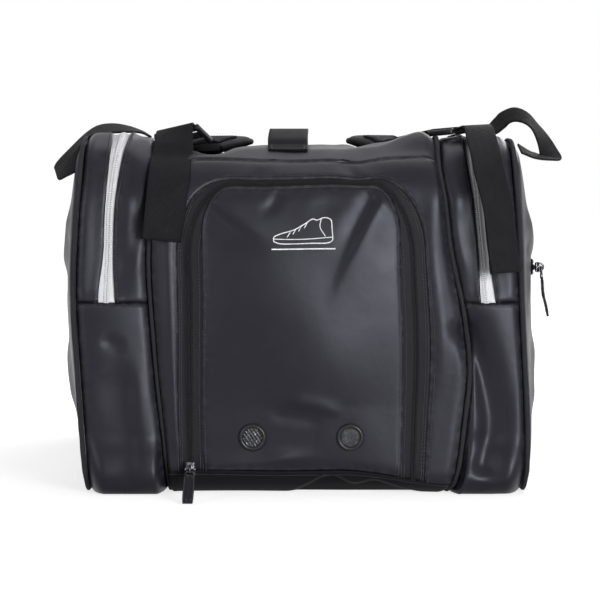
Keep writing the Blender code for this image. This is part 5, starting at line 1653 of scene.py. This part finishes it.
def vent_ring(name, seat, turn):
    """The moulded ring of an eyelet, turned from its profile of radius and height."""
    hole, rim = VENT_HOLE, VENT_RADIUS
    profile = np.array([
        (hole - 0.0004, -0.0012), (hole - 0.0004, 0.0008), (hole, 0.0017), (hole + 0.0007, 0.0024),
        (hole + 0.0016, 0.0027), (rim - 0.0014, 0.0024), (rim - 0.0005, 0.0016), (rim, 0.0006),
        (rim, -0.0010), (rim - 0.001, -0.0016)])
    local = np.stack([profile[:, 0] * np.cos(turn)[:, None], profile[:, 0] * np.sin(turn)[:, None],
                      np.broadcast_to(profile[:, 1], (len(turn), len(profile)))], -1)
    to = np.array(seat)
    points = local @ to[:3, :3].T + to[:3, 3]
    uv = plane_uv(profile[None, :, 0], turn[:, None] * rim)
    ring = grid_object(f"vent_{name}_ring", np.concatenate([points, points[:, :1]], 1),
                       np.concatenate([uv, uv[:, :1]], 1))
    weld(ring)
    attach(dress(ring, MATS["plastic"]), "shoe_door", [f"vent_{name}"])


def vent_gauze(name, seat, pitch, wire):
    """Crossed wires over an eyelet's hole."""
    bm = bmesh.new()
    for way in (0, 1):
        for k in np.arange(-VENT_HOLE + pitch / 2, VENT_HOLE, pitch):
            span = math.sqrt(max(0.0, VENT_HOLE ** 2 - k ** 2))
            if span < 0.001:
                continue
            size = (2 * span, 2 * wire, 2 * wire) if way else (2 * wire, 2 * span, 2 * wire)
            spot = (0, k, 0.0002) if way else (k, 0, 0.0002 + wire * 0.9)
            add_block(bm, size, spot, wire * 0.6)
    gauze = hardware(f"vent_{name}_gauze", bm, MATS["metal"], seat @ Matrix.Rotation(0.6, 4, "Z"))
    attach(gauze, "shoe_door")


def vent_felt(name, seat, turn):
    """The dark disc behind an eyelet's gauze."""
    back = [[tuple(seat @ Vector((r * math.cos(t), r * math.sin(t), -0.0004))) for t in turn[:-1]]
            for r in (0.0006, VENT_HOLE * 0.5, VENT_HOLE)]
    back = np.array(back)
    back = np.concatenate([back, back[:, :1]], 1)
    disc = grid_object(f"vent_{name}_felt", back, plane_uv(back[..., 0], back[..., 2]))
    thicken(dress(disc, MATS["lining"]), 0.0008)
    attach(disc, "shoe_door")


def vents():
    """Two eyelets with wire gauze in the shoe door."""
    turn = np.linspace(0, 2 * math.pi, VENT_STEPS + 1)
    for name, (x, pitch, wire) in VENTS.items():
        centre = front_skin(x, VENT_HEIGHT)
        out = unit(front_skin(x, VENT_HEIGHT, 0.01) - centre)
        up = front_skin(x, VENT_HEIGHT + 0.002) - centre
        seat = basis(centre + out * 0.0008, up, out)
        vent_ring(name, seat, turn)
        vent_gauze(name, seat, pitch, wire)
        vent_felt(name, seat, turn)


def side_zip():
    """The flat zip of the side pocket on the right flap."""
    y = np.linspace(*SIDE_ZIP_Y, 120)

    def tape(run, d, lift):
        return side_skin(1, run, SIDE_ZIP_Z + d, lift + TAPE_SINK + 0.0016)

    for tag, way, nodes in (("low", -1, ["side_zip"]), ("high", 1, [])):
        zip_half(f"side_tape_{tag}", tape, y, way * COIL_GAP, way * SIDE_TAPE, "right_flap",
                 nodes, MATS["tape"])


def door_print():
    """A plain pictogram of a shoe over one rule, printed on the door."""
    sole = [(-26, 6.5), (-20, 4.6), (-6, 4.4), (8, 4.6), (20, 4.6), (25, 6.4), (25.6, 9.6)]
    upper = [(25.6, 9.6), (25.0, 16), (24.0, 23.5), (18.5, 25.5), (12.5, 23.6), (8.5, 24.6), (2.0, 21.0),
             (-8.0, 16.2), (-19.0, 13.4), (-25.5, 10.6), (-26, 6.5)]
    welt = [(-26, 8.8), (-12, 8.2), (6, 8.2), (25.4, 9.4)]
    laces = [[(4.0 - 5.2 * k, 21.8 - 2.5 * k), (1.0 - 5.2 * k, 17.2 - 2.4 * k)] for k in range(4)]
    heel = [(16.0, 24.6), (15.0, 17.5), (19.5, 10.0)]
    rule = [(-28, 0.0), (28, 0.0)]
    rule_height = 0.2190
    strokes = [(sole, 0.42), (upper, 0.42), (welt, 0.34), (heel, 0.34), (rule, 0.55)]
    strokes += [(lace, 0.34) for lace in laces]
    for k, (line, half) in enumerate(strokes):
        path = catmull(line, 10) if len(line) > 2 else np.linspace(line[0], line[1], 24)
        path = spread_along(path, 0.7) * MM + np.array((0.0, rule_height))
        ahead = unit(np.gradient(path, axis=0))
        left = np.stack([-ahead[:, 1], ahead[:, 0]], -1)
        edges = np.stack([path - left * half * MM, path, path + left * half * MM], 1)
        points = settle(front_skin(edges[..., 0], edges[..., 1], 0.00022))
        points[:, 1, 1] -= 0.00006
        uv = plane_uv(edges[..., 0], edges[..., 1])
        obj = grid_object(f"door_print_{k}", points, uv)
        thicken(dress(obj, MATS["ink"]), 0.0002)
        attach(obj, "shoe_door")


# Stage, light and camera.


def seen_directly(tree):
    """1 for rays that see the surround straight, in gloss or through something clear, else 0."""
    rays = tree.nodes.new("ShaderNodeLightPath")
    value = rays.outputs["Is Camera Ray"]
    for kind in ("Is Glossy Ray", "Is Transmission Ray"):
        either = tree.nodes.new("ShaderNodeMath")
        either.operation = "MAXIMUM"
        tree.links.new(value, either.inputs[0])
        tree.links.new(rays.outputs[kind], either.inputs[1])
        value = either.outputs[0]
    return value


def stage():
    """A white floor that keeps the bag's shadow, and a white surround."""
    bpy.ops.mesh.primitive_plane_add(size=30.0, location=(0, 0, -0.0002))
    floor = bpy.context.object
    floor.name = "floor"
    sh = Shader("floor_white", 0.9, specular=0.0)
    sh.set("Base Color", colour(0.50, 0.50, 0.50))
    gap = sh.add("ShaderNodeVectorMath", {0: sh.place}, "Value", operation="LENGTH")
    near = sh.remap(gap, 0.35, 0.80, 0.72, 1.0)
    sh.set("Emission Color", colour(1.0, 1.0, 1.0))
    sh.set("Emission Strength", sh.math("MULTIPLY", near, seen_directly(sh.tree)))
    floor.data.materials.append(sh.mat)

    world = bpy.data.worlds.new("studio")
    bpy.context.scene.world = world
    world.use_nodes = True
    tree = world.node_tree
    back = tree.nodes["Background"]
    strength = tree.nodes.new("ShaderNodeMapRange")
    strength.inputs["To Min"].default_value = 0.15
    strength.inputs["To Max"].default_value = 1.0
    tree.links.new(seen_directly(tree), strength.inputs["Value"])
    tree.links.new(strength.outputs["Result"], back.inputs["Strength"])
    back.inputs["Color"].default_value = colour(1.0, 1.0, 1.0)


def lamp(name, place, target, size, power):
    """A square lamp that faces its target."""
    data = bpy.data.lights.new(name, "AREA")
    data.size = size
    data.energy = power
    obj = bpy.data.objects.new(name, data)
    bpy.context.scene.collection.objects.link(obj)
    obj.location = place
    obj.rotation_euler = (Vector(target) - Vector(place)).to_track_quat("-Z", "Y").to_euler()


def lights():
    """A strong key light low on the right, and three softer lamps round the bag."""
    aim = (0.0, -0.1, 0.16)
    lamp("key", (1.22, -2.72, 0.50), aim, 1.1, 108.0)
    lamp("fill", (-2.05, -2.05, 0.80), aim, 1.0, 20.0)
    lamp("top", (0.1, 0.3, 2.6), aim, 1.8, 24.0)
    lamp("back", (1.2, 2.4, 1.8), aim, 1.6, 40.0)


def camera():
    """The photo's view: a long lens in front of the shoe end, tilted a little down."""
    data = bpy.data.cameras.new("camera")
    data.lens = 147.8
    data.sensor_width = 36.0
    obj = bpy.data.objects.new("camera", data)
    bpy.context.scene.collection.objects.link(obj)
    obj.location = (0.0004, -2.472, 0.290)
    obj.rotation_euler = (math.radians(90.0 - 2.97), 0.0, 0.0)
    bpy.context.scene.camera = obj


def dress_bag():
    """Builds every piece of the bag."""
    front_cloth()
    door_cloth()
    arch_zip("door", DOOR, DOOR_ZIP, front_skin, "door")
    top_cloth()
    lid_cloth()
    arch_zip("lid", LID, LID_ZIP, top_skin, "lid")
    base_sheet()
    rear_cloth()
    shoe_liner()
    for side, name in SIDES:
        pocket(side, name)
        shoulder_strap(side, name)
        side_loop(name)
    tails()
    carry_handle()
    buckles()
    vents()
    side_zip()
    pulls()
    door_print()
    build_stitches()
    board = frame["nodes"]["base_board"]
    board.data.materials.clear()
    board.data.materials.append(MATS["board"])


dress_bag()
stage()
lights()
camera()
bpy.context.scene.view_settings.view_transform = "Standard"
